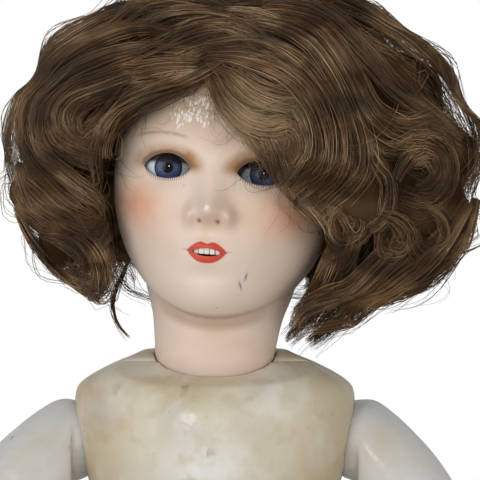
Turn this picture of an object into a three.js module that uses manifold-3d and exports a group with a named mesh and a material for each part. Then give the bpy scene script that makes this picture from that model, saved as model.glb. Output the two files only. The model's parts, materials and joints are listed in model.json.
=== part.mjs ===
// A jointed papier-mache doll, sitting with its legs stretched forward.
// Millimetres, +Z up. The doll faces -Y, and its left side is +X.
// The origin is on the floor, on the flat seat under the middle of the torso.

import * as THREE from 'three';
import { mergeVertices } from 'three/addons/utils/BufferGeometryUtils.js';
import Module from 'manifold-3d';

const wasm = await Module();
wasm.setup();

const radians = THREE.MathUtils.degToRad;

// Fits
const RUNNING_GAP = 0.35; // a ball in its cup, an eyeball in its socket
const LAID_GAP = 0.3; // faces that are glued, or lie on each other
const CORD_GAP = 0.4; // an elastic beside what it hangs on

// Head, in its own frame: the origin is the centre of the neck's ball
const HEAD_HALF_WIDTH = 48.5;
const HEAD_HALF_HEIGHT = 61.5;
const HEAD_FRONT_DEPTH = 50;
const HEAD_BACK_DEPTH = 53;
const HEAD_SQUARENESS = 2.2;
const HEAD_WALL = 3.6;
const EYE_LINE_HEIGHT = 76; // eye line above the neck's ball
const FACE_FORWARD = 6; // skull centre ahead of the neck's axis
const CROWN_CUT_HEIGHT = 33; // crown opening above the eye line
const CROWN_CUT_LEAN = radians(-10); // lower at the back
const HEAD_ROLL = radians(4.5); // the head leans towards its left shoulder
const HEAD_TURN = radians(-6.5); // and looks a little to its right

// Neck
const NECK_BALL_RADIUS = 26.3;
const NECK_TOP_RADIUS = 32.5;
const NECK_TOP_HEIGHT = 27;
const NECK_WALL = 4;
const NECK_HOLE_RADIUS = 9;
const NECK_HEIGHT = 165; // middle of the neck's ball above the floor
const NECK_PIVOT = new THREE.Vector3(0, 0, NECK_HEIGHT);

// Eyes, mouth and teeth
const EYE_SPACING = 40.6;
const EYE_RADIUS = 12.2;
const EYE_RECESS = 1.9; // front of the eyeball behind the face
const EYE_OPENING_WIDTH = 20.4;
const EYE_OPENING_HEIGHT = 11.4;
const EYE_BRIDGE_RADIUS = 1.5;
const WEIGHT_RADIUS = 5.5;
const WEIGHT_LENGTH = 13;
const WEIGHT_DROP = 27; // middle of the lead below the eyes' axis
const WEIGHT_LEAN = radians(-6);
const MOUTH_DROP = 34.2; // below the eye line
const MOUTH_OPENING_WIDTH = 12;
const MOUTH_OPENING_HEIGHT = 3.2;
const MOUTH_WALL = 3.2;
const TOOTH_COUNT = 5;
const TOOTH_WIDTH = 2.3;
const TOOTH_HEIGHT = 3.4;
const TOOTH_DEPTH = 1.8;
const GUM_HEIGHT = 2;

// Wig
const CAP_THICKNESS = 1.1;
const CAP_SLACK = 1.2; // the gauze lies loosely on the skull
const CAP_FRONT_HEIGHT = 39; // front edge above the eye line
const CAP_BACK_HEIGHT = -14;
const HAIR_LEFT_REACH = 114; // the doll's left, where the hair is fuller
const HAIR_RIGHT_REACH = 97;
const HAIR_FRONT_REACH = 62;
const HAIR_BACK_REACH = 78;
const HAIR_TOP_REACH = 86;
const HAIR_BOTTOM_REACH = 70;
const HAIR_LOBES = 7;
const HAIR_LOBE_DEPTH = 0.05;
const HAIR_WAVES = 7; // from the crown down to the neck
const HAIR_WAVE_DEPTH = 0.08; // of the hair's reach
const HAIR_WAVE_DRIFT = 0.9; // how far the waves slant round the head
const HAIR_WAVE_BEGIN = [0.12, 0.28]; // shares of the way down over which the waves set in
const HAIR_WAVE_END = [0.78, 0.9]; // and die out
const HAIR_WAVE_FACE_LOSS = 0.5; // how much flatter they are over the face
const HAIR_NECK_GAP = 5;
const HAIR_DROOP = 4; // the curls hang below the bob's round underside

// Torso
const TORSO_WALL = 3.4;
const TORSO_SQUARENESS = 2.35;
const TORSO_SEAM_Y = -8; // the seam between the two pressed halves
const NECKLINE_LEAN = radians(22);
const NECKLINE_SIDE_DROP = 1.5; // the neckline at the sides, below the ball's middle
const NECKLINE_BACK_DROP = 1; // and at the back
const NECKLINE_EASE = 1.2; // room at the rim for the head to nod
const NECKLINE_FLARE = 4; // the neck hole widens above the ball's middle

// Arms
const SHOULDER_HALF_SPAN = 64.5;
const SHOULDER_DROP = 41; // below the neck's ball
const SHOULDER = new THREE.Vector3(SHOULDER_HALF_SPAN, 4, NECK_HEIGHT - SHOULDER_DROP);
const SHOULDER_BALL_RADIUS = 18;
const ARM_SIDE_GAP = 0.8; // flat inner side of the arm, off the torso
const ARM_SPREAD = radians(38);
const LEFT_ARM_SWING = radians(4);
const RIGHT_ARM_SWING = radians(34);
const UPPER_ARM_LENGTH = 72; // shoulder to elbow
const UPPER_ARM_RADIUS = 21;
const ELBOW_BALL_RADIUS = 14.5;
const ELBOW_RIM_OFFSET = 9.5; // limb ends from the middle of the elbow ball
const ELBOW_BEND = radians(60);
const FOREARM_LENGTH = 64; // elbow to wrist
const FOREARM_RADIUS = 15.6;
const WRIST_BALL_RADIUS = 8;
const WRIST_RIM_OFFSET = 2.5;
const PALM_LENGTH = 25;
const PALM_WIDTH = 23;
const PALM_THICKNESS = 10;
const FINGER_LENGTH = 21;
const FINGER_RADIUS = 2.7;

// Legs
const HIP = new THREE.Vector3(29, -4, 23.6);
const HIP_BALL_RADIUS = 23;
const CROTCH_HALF_WIDTH = 5.4;
const LEG_SPLAY = radians(5);
const LEG_DROOP = radians(2.2); // the knees lie lower than the hips
const THIGH_LENGTH = 96; // hip to knee
const KNEE_BALL_RADIUS = 16.5;
const KNEE_RIM_OFFSET = 10.8;
const KNEE_LIFT = radians(1.4); // undoes most of the droop below the knee
const SHIN_LENGTH = 86; // knee to ankle
const CALF_RADIUS = 17.4;
const ANKLE_RADIUS = 10.5;
const FOOT_LENGTH = 60;
const FOOT_WIDTH = 26;
const FOOT_HEIGHT = 22;
const HEEL_BACK = 13; // heel behind the shin's axis
const SHIN_BORE_SHARE = 0.45; // how far the elastic runs down the shin

// Stringing
const CORD_RADIUS = 1.6;
const LIMB_BORE_RADIUS = 4;
const SLOT_WIDTH = 8;
const PIN_RADIUS = 1.6;
const PIN_HALF_LENGTH = 10;
const STIRRUP_DROP = 44; // bottom of the neck hook below the neck's ball
const STIRRUP_HALF_WIDTH = 12;
const STIRRUP_HEIGHT = 9;
const STIRRUP_BAR = 2.6;

// Facets
const LIMB_SIDES = 14;
const BALL_SIDES = 14;
const CUP_SIDES = 16;
const BORE_SIDES = 8;
const CORD_SIDES = 8;
const FACE_SIDES = 30;
const FACE_RINGS = 22;
const HAIR_SIDES = 30;
const HAIR_RINGS = 28;
const CAP_SIDES = 20;
const CAP_RINGS = 16;
const NECK_SIDES = 18;

// Finishes
const finish = (color, roughness, metalness = 0) =>
  new THREE.MeshStandardMaterial({ color, roughness, metalness });
const FINISH = {
  face: finish(0xdcc2b0, 0.3),
  body: finish(0xc9c1a8, 0.35),
  limb: finish(0xc8c4bc, 0.35),
  hair: finish(0x5d4526, 0.6),
  gauze: finish(0xb9a788, 0.9),
  card: finish(0xa08863, 0.9),
  glass: finish(0x4a5c94, 0.1),
  lead: finish(0x6b6b6e, 0.6, 0.8),
  wire: finish(0x77736c, 0.4, 1),
  teeth: finish(0xf2f0ea, 0.25),
  wood: finish(0xb08d5e, 0.6),
  elastic: finish(0xe6e0d2, 0.8),
};

// Solids

// A closed geometry with its shared corners merged, so that moving corners keeps it closed.
function merged(geometry) {
  const loose = geometry.index ? geometry.toNonIndexed() : geometry;
  const bare = new THREE.BufferGeometry();
  bare.setAttribute('position', loose.getAttribute('position').clone());
  return mergeVertices(bare, 1e-4);
}

// Moves every corner of a merged geometry by a rule on THREE.Vector3.
function moved(geometry, rule) {
  const made = merged(geometry);
  const corners = made.getAttribute('position');
  const corner = new THREE.Vector3();
  for (let i = 0; i < corners.count; i += 1) {
    corner.fromBufferAttribute(corners, i);
    rule(corner);
    corners.setXYZ(i, corner.x, corner.y, corner.z);
  }
  return made;
}

function solid(geometry) {
  const made = merged(geometry);
  const triVerts = Uint32Array.from(made.index.array);
  const vertProperties = Float32Array.from(made.getAttribute('position').array);
  const build = () => new wasm.Manifold(new wasm.Mesh({ numProp: 3, vertProperties, triVerts }));
  const first = build();
  if (first.volume() > 0) return first;
  for (let i = 0; i < triVerts.length; i += 3) {
    [triVerts[i + 1], triVerts[i + 2]] = [triVerts[i + 2], triVerts[i + 1]];
  }
  return build();
}

function surface(manifold) {
  const mesh = manifold.getMesh();
  const corners = new Float32Array(mesh.numVert * 3);
  for (let i = 0; i < mesh.numVert; i += 1) {
    corners.set(mesh.vertProperties.subarray(i * mesh.numProp, i * mesh.numProp + 3), i * 3);
  }
  const geometry = new THREE.BufferGeometry();
  geometry.setAttribute('position', new THREE.BufferAttribute(corners, 3));
  geometry.setIndex(new THREE.BufferAttribute(Uint32Array.from(mesh.triVerts), 1));
  geometry.computeVertexNormals();
  return geometry;
}

const join = (first, ...rest) => rest.reduce((whole, next) => whole.add(next), first);
const cut = (first, ...rest) => rest.reduce((whole, next) => whole.subtract(next), first);

function addPiece(parent, name, manifold, material) {
  const mesh = new THREE.Mesh(surface(manifold), material);
  mesh.name = name;
  parent.add(mesh);
  return mesh;
}

function addGroup(parent, name, position, turn = [0, 0, 0]) {
  const group = new THREE.Group();
  group.name = name;
  group.position.copy(position);
  group.rotation.set(...turn);
  parent.add(group);
  return group;
}

// Forms

const onAxis = (height) => new THREE.Vector3(0, 0, height);

// A solid of revolution about Z through [radius, height] points, smoothed where asked.
function turned(points, sides, steps = 0) {
  const corners = points.map(([radius, height]) => new THREE.Vector2(radius, height));
  const profile = steps ? new THREE.SplineCurve(corners).getPoints(steps) : corners;
  const bottom = profile[0].y;
  const top = profile[profile.length - 1].y;
  const closed = [new THREE.Vector2(0, bottom), ...profile, new THREE.Vector2(0, top)];
  return new THREE.LatheGeometry(closed, sides).rotateX(Math.PI / 2);
}

function ball(radius, centre, sides = BALL_SIDES) {
  const geometry = new THREE.SphereGeometry(radius, sides, Math.round(sides * 0.6));
  return solid(geometry.rotateX(Math.PI / 2).translate(centre.x, centre.y, centre.z));
}

// A round hollow whose facets all stand clear of a ball of the given radius.
function hollowBall(radius, centre, sides = CUP_SIDES) {
  const flattest = Math.cos(Math.PI / sides) * Math.cos(Math.PI / 2 / Math.round(sides * 0.6));
  return ball(radius / flattest, centre, sides);
}

// A round bar between two points.
function bar(radius, from, to, sides = CORD_SIDES) {
  const along = new THREE.Vector3().subVectors(to, from);
  const geometry = new THREE.CylinderGeometry(radius, radius, along.length(), sides);
  const upright = new THREE.Vector3(0, 1, 0);
  const turn = new THREE.Quaternion().setFromUnitVectors(upright, along.clone().normalize());
  const middle = new THREE.Vector3().addVectors(from, to).multiplyScalar(0.5);
  return solid(geometry.applyQuaternion(turn).translate(middle.x, middle.y, middle.z));
}

// A cord of round section along a smooth route.
function cord(radius, points, steps) {
  const section = new THREE.Shape().absarc(0, 0, radius, 0, 2 * Math.PI);
  const route = new THREE.CatmullRomCurve3(points);
  const settings = { steps, extrudePath: route, curveSegments: CORD_SIDES / 2, bevelEnabled: false };
  return solid(new THREE.ExtrudeGeometry(section, settings));
}

function block(low, high) {
  const size = new THREE.Vector3().subVectors(high, low);
  const middle = new THREE.Vector3().addVectors(low, high).multiplyScalar(0.5);
  const geometry = new THREE.BoxGeometry(size.x, size.y, size.z);
  return solid(geometry.translate(middle.x, middle.y, middle.z));
}

// An outline in X and Z, pushed through from one Y to another.
function pushedThrough(outline, fromY, toY, segments = 10) {
  const settings = { depth: toY - fromY, bevelEnabled: false, curveSegments: segments };
  const geometry = new THREE.ExtrudeGeometry(outline, settings);
  return geometry.rotateX(Math.PI / 2).translate(0, toY, 0);
}

// A lens-shaped outline, as of an eye or a parted mouth.
function lens(width, height) {
  const outline = new THREE.Shape();
  outline.moveTo(-width / 2, 0);
  outline.quadraticCurveTo(0, height, width / 2, 0);
  outline.quadraticCurveTo(0, -height, -width / 2, 0);
  return outline;
}

// The slot that a cord sweeps in a ball: a sector in Y and Z, from straight up towards the front
// or, with a negative angle, towards the back.
function sweptSlot(radius, width, angle) {
  const overrun = radians(12) * Math.sign(angle);
  const outline = new THREE.Shape();
  const reach = radius * 1.3;
  const clear = width / 2;
  const steps = 8;
  outline.moveTo(clear * Math.sign(angle), -clear);
  for (let i = 0; i <= steps; i += 1) {
    const at = -overrun + ((angle + 2 * overrun) * i) / steps;
    outline.lineTo(-reach * Math.sin(at), reach * Math.cos(at));
  }
  outline.closePath();
  const settings = { depth: width, bevelEnabled: false };
  const geometry = new THREE.ExtrudeGeometry(outline, settings);
  return solid(geometry.translate(0, 0, -width / 2).rotateY(Math.PI / 2).rotateX(Math.PI / 2));
}

const bell = (t) => Math.exp(-t * t);

// Head

const SKULL = new THREE.Vector3(0, -FACE_FORWARD, EYE_LINE_HEIGHT);

// Height of the nose's ridge down the face, by the height above the eye line.
function noseRidge(v) {
  const bridgeHeight = 1.2;
  const tipHeight = 10.6;
  const bridgeAt = 5;
  const tipAt = -16.5;
  if (v > bridgeAt) return bridgeHeight * bell((v - bridgeAt) / 7);
  if (v < tipAt) return tipHeight * bell((v - tipAt) / 5);
  const share = (bridgeAt - v) / (bridgeAt - tipAt);
  return bridgeHeight + (tipHeight - bridgeHeight) * share ** 1.35;
}

// How far the face stands forward of the plain skull at x and at v above the eye line.
function faceRelief(x, v) {
  const side = Math.abs(x);
  const mouth = v + MOUTH_DROP;
  const noseWidth = 4.6 + 2.6 * bell((v + 16.5) / 9);
  const nose = noseRidge(v) * bell(x / noseWidth);
  const wings = 4.6 * bell((side - 7.4) / 3.2) * bell((v + 19.2) / 4.2);
  const jaw = 9 * bell(x / 30) * bell((v + 47) / 17);
  const chin = 2.6 * bell(x / 10) * bell((v + 53) / 7.5);
  const underLip = -1.3 * bell(x / 8) * bell((mouth + 8.6) / 2.6);
  const muzzle = 2.6 * bell(x / 16) * bell(mouth / 10);
  const lips = 1.7 * bell(x / 6.6) * (bell((mouth - 2.6) / 2.2) + bell((mouth + 3) / 2.4));
  const cheeks = 2.2 * bell((side - 27) / 13) * bell((v + 20) / 12);
  const sockets = -2.8 * bell((side - EYE_SPACING / 2) / 12) * bell(v / 8);
  return nose + wings + jaw + chin + underLip + muzzle + lips + cheeks + sockets;
}

// Turns a point of the unit sphere into a point of the head, grown by an offset.
function toHead(point, offset) {
  const depth = point.y < 0 ? HEAD_FRONT_DEPTH : HEAD_BACK_DEPTH;
  const sum =
    Math.abs(point.x / (HEAD_HALF_WIDTH + offset)) ** HEAD_SQUARENESS +
    Math.abs(point.y / (depth + offset)) ** HEAD_SQUARENESS +
    Math.abs(point.z / (HEAD_HALF_HEIGHT + offset)) ** HEAD_SQUARENESS;
  point.multiplyScalar(sum ** (-1 / HEAD_SQUARENESS));
  const frontness = THREE.MathUtils.smoothstep(-point.y, -2, 26);
  point.y -= frontness * faceRelief(point.x, point.z);
  return point.add(SKULL);
}

// The head as a sphere whose pole is the middle of the face, where its rings are closest.
function headForm(offset, sides = FACE_SIDES, rings = FACE_RINGS) {
  const profile = [];
  for (let i = 0; i <= rings; i += 1) {
    const share = i / rings;
    const angle = Math.PI * (0.62 * share + 0.38 * share * share);
    profile.push(new THREE.Vector2(Math.sin(angle), -Math.cos(angle)));
  }
  profile[0].x = 0;
  profile[rings].x = 0;
  return solid(moved(new THREE.LatheGeometry(profile, sides), (p) => toHead(p, offset)));
}

function skullCavity() {
  const inner = new THREE.SphereGeometry(1, 20, 12);
  const shape = (p) => {
    const depth = p.y < 0 ? HEAD_FRONT_DEPTH - 1 : HEAD_BACK_DEPTH;
    p.multiply(new THREE.Vector3(HEAD_HALF_WIDTH, depth, HEAD_HALF_HEIGHT).subScalar(HEAD_WALL));
    p.add(SKULL);
  };
  return solid(moved(inner.rotateX(Math.PI / 2), shape));
}

function neckForm(offset) {
  const bottom = [];
  const steps = 6;
  for (let i = 0; i < steps; i += 1) {
    const angle = (Math.PI / 2) * (i / steps);
    const radius = NECK_BALL_RADIUS + offset;
    bottom.push([radius * Math.sin(angle), -radius * Math.cos(angle)]);
  }
  const flare = (NECK_BALL_RADIUS + NECK_TOP_RADIUS) / 2 - 1;
  const top = [
    [NECK_BALL_RADIUS + offset, 0],
    [flare + offset, NECK_TOP_HEIGHT * 0.5],
    [NECK_TOP_RADIUS + offset, NECK_TOP_HEIGHT],
    [NECK_TOP_RADIUS + offset, NECK_TOP_HEIGHT * 1.4],
  ];
  return solid(turned([...bottom, ...top], 20));
}

// Everything of the head above the slanted cut of its crown.
function aboveCrown(gap) {
  const far = 200;
  const lifted = block(new THREE.Vector3(-far, -far, gap), new THREE.Vector3(far, far, far));
  const tilted = surface(lifted).rotateX(CROWN_CUT_LEAN);
  return solid(tilted.translate(SKULL.x, SKULL.y, SKULL.z + CROWN_CUT_HEIGHT));
}

const EYE_SIDES = { left: 1, right: -1 };
const EYE_DEPTH = (() => {
  const point = new THREE.Vector3(EYE_SPACING / 2, -HEAD_FRONT_DEPTH, 0).normalize();
  for (let i = 0; i < 12; i += 1) {
    const found = toHead(point.clone(), 0).sub(SKULL);
    point.set(EYE_SPACING / 2, found.y, 0).normalize();
  }
  return toHead(point.clone(), 0).y + EYE_RECESS + EYE_RADIUS;
})();
const eyeCentre = (side) => new THREE.Vector3((side * EYE_SPACING) / 2, EYE_DEPTH, SKULL.z);

function mouthFront() {
  const point = new THREE.Vector3(0, -HEAD_FRONT_DEPTH, -MOUTH_DROP).normalize();
  for (let i = 0; i < 12; i += 1) {
    const found = toHead(point.clone(), 0).sub(SKULL);
    point.set(0, found.y, -MOUTH_DROP).normalize();
  }
  return toHead(point, 0).y;
}

function makeHeadShell() {
  const sockets = [];
  for (const side of Object.values(EYE_SIDES)) {
    const centre = eyeCentre(side);
    sockets.push(hollowBall(EYE_RADIUS + RUNNING_GAP, centre));
    const opening = pushedThrough(lens(EYE_OPENING_WIDTH, EYE_OPENING_HEIGHT), -90, EYE_DEPTH);
    sockets.push(solid(opening.translate(centre.x, 0, centre.z)));
  }
  const mouthHeight = SKULL.z - MOUTH_DROP;
  const lips = pushedThrough(lens(MOUTH_OPENING_WIDTH, MOUTH_OPENING_HEIGHT), -90, -20);
  const pocketFront = mouthFront() + MOUTH_WALL - LAID_GAP;
  const pocketHalf = (TOOTH_COUNT * TOOTH_WIDTH) / 2 + 1;
  const mouthPocket = block(
    new THREE.Vector3(-pocketHalf, pocketFront, mouthHeight - TOOTH_HEIGHT),
    new THREE.Vector3(pocketHalf, pocketFront + 18, mouthHeight + MOUTH_OPENING_HEIGHT + GUM_HEIGHT),
  );
  const throat = turned(
    [
      [(NECK_BALL_RADIUS - NECK_WALL) * 0.55, -(NECK_BALL_RADIUS - NECK_WALL) * 0.83],
      [NECK_BALL_RADIUS - NECK_WALL, -2],
      [NECK_BALL_RADIUS - NECK_WALL, NECK_TOP_HEIGHT * 0.5],
      [NECK_TOP_RADIUS - NECK_WALL, NECK_TOP_HEIGHT + 6],
    ],
    NECK_SIDES,
  );
  const hookHole = bar(NECK_HOLE_RADIUS, onAxis(-NECK_BALL_RADIUS * 1.2), onAxis(0), 12);
  const whole = join(headForm(0), neckForm(0));
  const lipsCut = solid(lips.translate(0, 0, mouthHeight));
  const hollow = [skullCavity(), solid(throat), hookHole, mouthPocket, lipsCut, aboveCrown(0)];
  return cut(whole, ...hollow, ...sockets);
}

function makePate() {
  const dome = headForm(-2 * LAID_GAP, 20, 14);
  const under = headForm(-LAID_GAP - 2, 16, 12);
  return cut(dome, under).intersect(aboveCrown(LAID_GAP));
}

function makeWigCap() {
  const outer = headForm(CAP_SLACK + CAP_THICKNESS, CAP_SIDES, CAP_RINGS);
  const inner = headForm(CAP_SLACK, CAP_SIDES, CAP_RINGS);
  const run = HEAD_FRONT_DEPTH + HEAD_BACK_DEPTH;
  const lean = Math.atan2(CAP_BACK_HEIGHT - CAP_FRONT_HEIGHT, run);
  const middle = (CAP_FRONT_HEIGHT + CAP_BACK_HEIGHT) / 2;
  const far = 200;
  const region = block(new THREE.Vector3(-far, -far, 0), new THREE.Vector3(far, far, far));
  const tilted = surface(region).rotateX(lean).translate(0, SKULL.y, SKULL.z + middle);
  return cut(outer, inner).intersect(solid(tilted));
}

// The face's opening in the hair, as seen from the front, in X and the height above the eye line.
function faceOpening() {
  const outline = new THREE.Shape();
  outline.moveTo(-4, 38);
  outline.bezierCurveTo(-26, 34, -42, 20, -45, 0);
  outline.bezierCurveTo(-46, -16, -43, -38, -34, -58);
  outline.lineTo(-40, -100);
  outline.lineTo(36, -100);
  outline.lineTo(37, -56);
  outline.bezierCurveTo(45, -44, 50, -28, 48, -18);
  outline.bezierCurveTo(40, -6, 30, -4, 27, 0);
  outline.bezierCurveTo(24, 14, 10, 24, -4, 38);
  return solid(pushedThrough(outline, -120, SKULL.y + 2).translate(0, 0, SKULL.z));
}

// How far the waves stand in at a point of the hair's unit ball, less over the face.
function hairWave(p) {
  const fall = Math.acos(THREE.MathUtils.clamp(p.z, -1, 1)) / Math.PI;
  const drift = HAIR_WAVE_DRIFT * Math.sin(2 * Math.atan2(p.x, -p.y));
  const valley = (1 - Math.cos(2 * Math.PI * HAIR_WAVES * fall + drift)) / 2;
  const begin = THREE.MathUtils.smoothstep(fall, ...HAIR_WAVE_BEGIN);
  const end = 1 - THREE.MathUtils.smoothstep(fall, ...HAIR_WAVE_END);
  const depth = HAIR_WAVE_DEPTH * (1 - HAIR_WAVE_FACE_LOSS * Math.max(-p.y, 0));
  return 1 - depth * valley * begin * end;
}

function makeWigHair() {
  const bob = (p) => {
    const around = Math.atan2(p.x, p.y);
    const low = THREE.MathUtils.smoothstep(-p.z, -0.3, 0.7);
    const lobes = 1 + HAIR_LOBE_DEPTH * Math.cos(HAIR_LOBES * around) * low;
    const wave = hairWave(p);
    const across = p.x > 0 ? HAIR_LEFT_REACH : HAIR_RIGHT_REACH;
    const along = p.y < 0 ? HAIR_FRONT_REACH : HAIR_BACK_REACH;
    const up = p.z > 0 ? HAIR_TOP_REACH : HAIR_BOTTOM_REACH;
    p.multiply(new THREE.Vector3(across * lobes, along * lobes, up)).multiplyScalar(wave);
    p.z -= HAIR_DROOP * 4 * low * (1 - low);
    p.add(SKULL);
  };
  const mass = solid(moved(new THREE.SphereGeometry(1, HAIR_SIDES, HAIR_RINGS).rotateX(Math.PI / 2), bob));
  const room = headForm(CAP_SLACK + CAP_THICKNESS + LAID_GAP, CAP_SIDES, CAP_RINGS);
  const neckRoom = turned(
    [
      [NECK_TOP_RADIUS + HAIR_NECK_GAP, -40],
      [NECK_TOP_RADIUS + HAIR_NECK_GAP, EYE_LINE_HEIGHT - 20],
    ],
    16,
  );
  return cut(mass, room, solid(neckRoom), faceOpening());
}

// Sleep eyes: two glass balls on a wire bridge, with a lead weight that keeps them open upright.
function makeEyeBridge() {
  const ends = Object.values(EYE_SIDES).map((side) => {
    const end = eyeCentre(side);
    end.x -= side * (EYE_RADIUS + LAID_GAP);
    return end;
  });
  const middle = new THREE.Vector3(0, EYE_DEPTH, SKULL.z);
  const stemEnd = middle.clone().add(weightOffset(WEIGHT_DROP - WEIGHT_LENGTH / 2 - LAID_GAP));
  return join(bar(EYE_BRIDGE_RADIUS, ends[0], ends[1]), bar(EYE_BRIDGE_RADIUS, middle, stemEnd));
}

function weightOffset(drop) {
  return new THREE.Vector3(0, -drop * Math.sin(WEIGHT_LEAN), -drop * Math.cos(WEIGHT_LEAN));
}

function makeEyeWeight() {
  const middle = new THREE.Vector3(0, EYE_DEPTH, SKULL.z);
  const top = middle.clone().add(weightOffset(WEIGHT_DROP - WEIGHT_LENGTH / 2));
  const bottom = middle.clone().add(weightOffset(WEIGHT_DROP + WEIGHT_LENGTH / 2));
  return bar(WEIGHT_RADIUS, top, bottom, 14);
}

// The upper row of teeth, on a strip of gum behind the lips.
function makeTeeth() {
  const front = mouthFront() + MOUTH_WALL;
  const top = SKULL.z - MOUTH_DROP + MOUTH_OPENING_HEIGHT / 2 - 0.2;
  const row = [];
  for (let i = 0; i < TOOTH_COUNT; i += 1) {
    const x = (i - (TOOTH_COUNT - 1) / 2) * TOOTH_WIDTH;
    const back = front + 0.045 * x * x;
    const half = (TOOTH_WIDTH - 0.25) / 2;
    const low = new THREE.Vector3(x - half, back, top - TOOTH_HEIGHT * 0.7);
    row.push(block(low, new THREE.Vector3(x + half, back + TOOTH_DEPTH, top + 1)));
  }
  const span = (TOOTH_COUNT * TOOTH_WIDTH) / 2;
  const gum = block(
    new THREE.Vector3(-span, front + 0.3, top + 0.4),
    new THREE.Vector3(span, front + TOOTH_DEPTH + 1.6, top + 0.4 + GUM_HEIGHT),
  );
  return join(gum, ...row);
}

// Neck fitting: a turned wooden button inside the neck, and the wire hook that hangs from it.
function makeNeckButton() {
  const acrossFlats = (NECK_BALL_RADIUS - NECK_WALL) * Math.cos(Math.PI / NECK_SIDES);
  const radius = acrossFlats - RUNNING_GAP;
  const points = [
    [radius * 0.55, -radius * 0.83 + RUNNING_GAP],
    [radius * 0.98, -3],
    [radius * 0.98, 2],
    [radius * 0.5, 5],
  ];
  const wireHole = bar(PIN_RADIUS * 2, onAxis(-NECK_BALL_RADIUS), onAxis(20), BORE_SIDES);
  return cut(solid(turned(points, NECK_SIDES)), wireHole);
}

function makeNeckHook() {
  const steps = 8;
  const plate = (half, topZ, radius, thickness) => {
    const swing = Math.asin(half / radius);
    const outline = new THREE.Shape();
    outline.moveTo(-half, topZ);
    for (let i = 0; i <= steps; i += 1) {
      const at = -swing + (2 * swing * i) / steps;
      outline.lineTo(radius * Math.sin(at), -radius * Math.cos(at));
    }
    outline.lineTo(half, topZ);
    return solid(pushedThrough(outline, -thickness / 2, thickness / 2).rotateZ(Math.PI / 2));
  };
  const topZ = -STIRRUP_DROP + STIRRUP_HEIGHT;
  const rim = STIRRUP_BAR;
  const whole = plate(STIRRUP_HALF_WIDTH + rim, topZ + rim, STIRRUP_DROP + rim, rim);
  const stirrup = cut(whole, plate(STIRRUP_HALF_WIDTH, topZ, STIRRUP_DROP, 2 * rim));
  const stem = bar(PIN_RADIUS, onAxis(topZ + STIRRUP_BAR / 2), onAxis(8));
  const nut = 5 + 2 * LAID_GAP;
  const head = bar(PIN_RADIUS * 3, onAxis(nut), onAxis(nut + PIN_RADIUS * 1.6), 12);
  return join(stirrup, stem, head);
}

// Torso

// The tables below are drawn for this height of the neck, and stretch with it.
const DRAWN_NECK_HEIGHT = 165;
const stretched = (height) => (height * NECK_HEIGHT) / DRAWN_NECK_HEIGHT;

const spline = (...points) => {
  const curve = new THREE.SplineCurve(
    points.map(([height, size]) => new THREE.Vector2(stretched(height), size)),
  );
  const samples = curve.getPoints(160);
  return (height) => {
    const at = samples.findIndex((p) => p.x >= height);
    if (at === -1) return samples[samples.length - 1].y;
    if (at === 0) return samples[0].y;
    const [low, high] = [samples[at - 1], samples[at]];
    return low.y + ((high.y - low.y) * (height - low.x)) / (high.x - low.x);
  };
};

// Half width, chest depth and back depth by height, read up the body.
const torsoWidth = spline(
  [0, 41], [4, 45.5], [14, 50], [34, 53], [62, 51], [90, 50], [112, 56.5], [132, 60.6],
  [143, 61], [150, 58.4], [157.5, 46], [164, 31], [169, 26], [176, 23],
);
const torsoFront = spline(
  [0, 24], [6, 30], [18, 37], [40, 43], [62, 43], [90, 38], [118, 40], [140, 38], [152, 33],
  [162, 29], [176, 26],
);
const torsoBack = spline(
  [0, 37], [6, 40], [20, 43], [40, 41], [66, 33], [90, 30], [118, 35], [140, 36], [152, 34],
  [162, 31], [176, 27],
);
const TORSO_LEVELS = [
  0, 3, 10, 22, 38, 58, 78, 96, 112, 128, 140, 148, 153, 158.5, 164, 170, 176,
].map(stretched);
const INNER_LEVELS = [TORSO_WALL, ...[14, 40, 76, 110, 139, 151, 160, 172].map(stretched)];

function torsoForm(inset, levels, sides) {
  const profile = levels.map((z) => [1, z]);
  const power = 2 / TORSO_SQUARENESS;
  const shape = (p) => {
    const reach = Math.hypot(p.x, p.y);
    if (reach < 1e-6) return;
    const [c, s] = [p.x / reach, p.y / reach];
    const depth = s < 0 ? torsoFront(p.z) : torsoBack(p.z);
    p.x = Math.sign(c) * Math.abs(c) ** power * (torsoWidth(p.z) - inset);
    p.y = Math.sign(s) * Math.abs(s) ** power * (depth - inset);
  };
  return solid(moved(turned(profile, sides), shape));
}

// Room for a thigh: a round groove along X about the hip, open forward and down.
function legRoom(side, grow) {
  const radius = HIP_BALL_RADIUS + RUNNING_GAP + grow;
  const outline = new THREE.Shape();
  const reach = 90;
  outline.moveTo(-reach, radius);
  outline.lineTo(0, radius);
  outline.absarc(0, 0, radius, Math.PI / 2, 0, true);
  outline.lineTo(radius, -reach);
  outline.lineTo(-reach, -reach);
  outline.closePath();
  const from = CROTCH_HALF_WIDTH - grow;
  const settings = { depth: reach, bevelEnabled: false, curveSegments: 7 };
  const along = new THREE.ExtrudeGeometry(outline, settings).rotateX(Math.PI / 2).rotateZ(Math.PI / 2);
  const groove = solid(along.translate(from, HIP.y, HIP.z));
  return side > 0 ? groove : solid(surface(groove).scale(-1, 1, 1));
}

const sidePoint = (point, side) => new THREE.Vector3(point.x * side, point.y, point.z);

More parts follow.
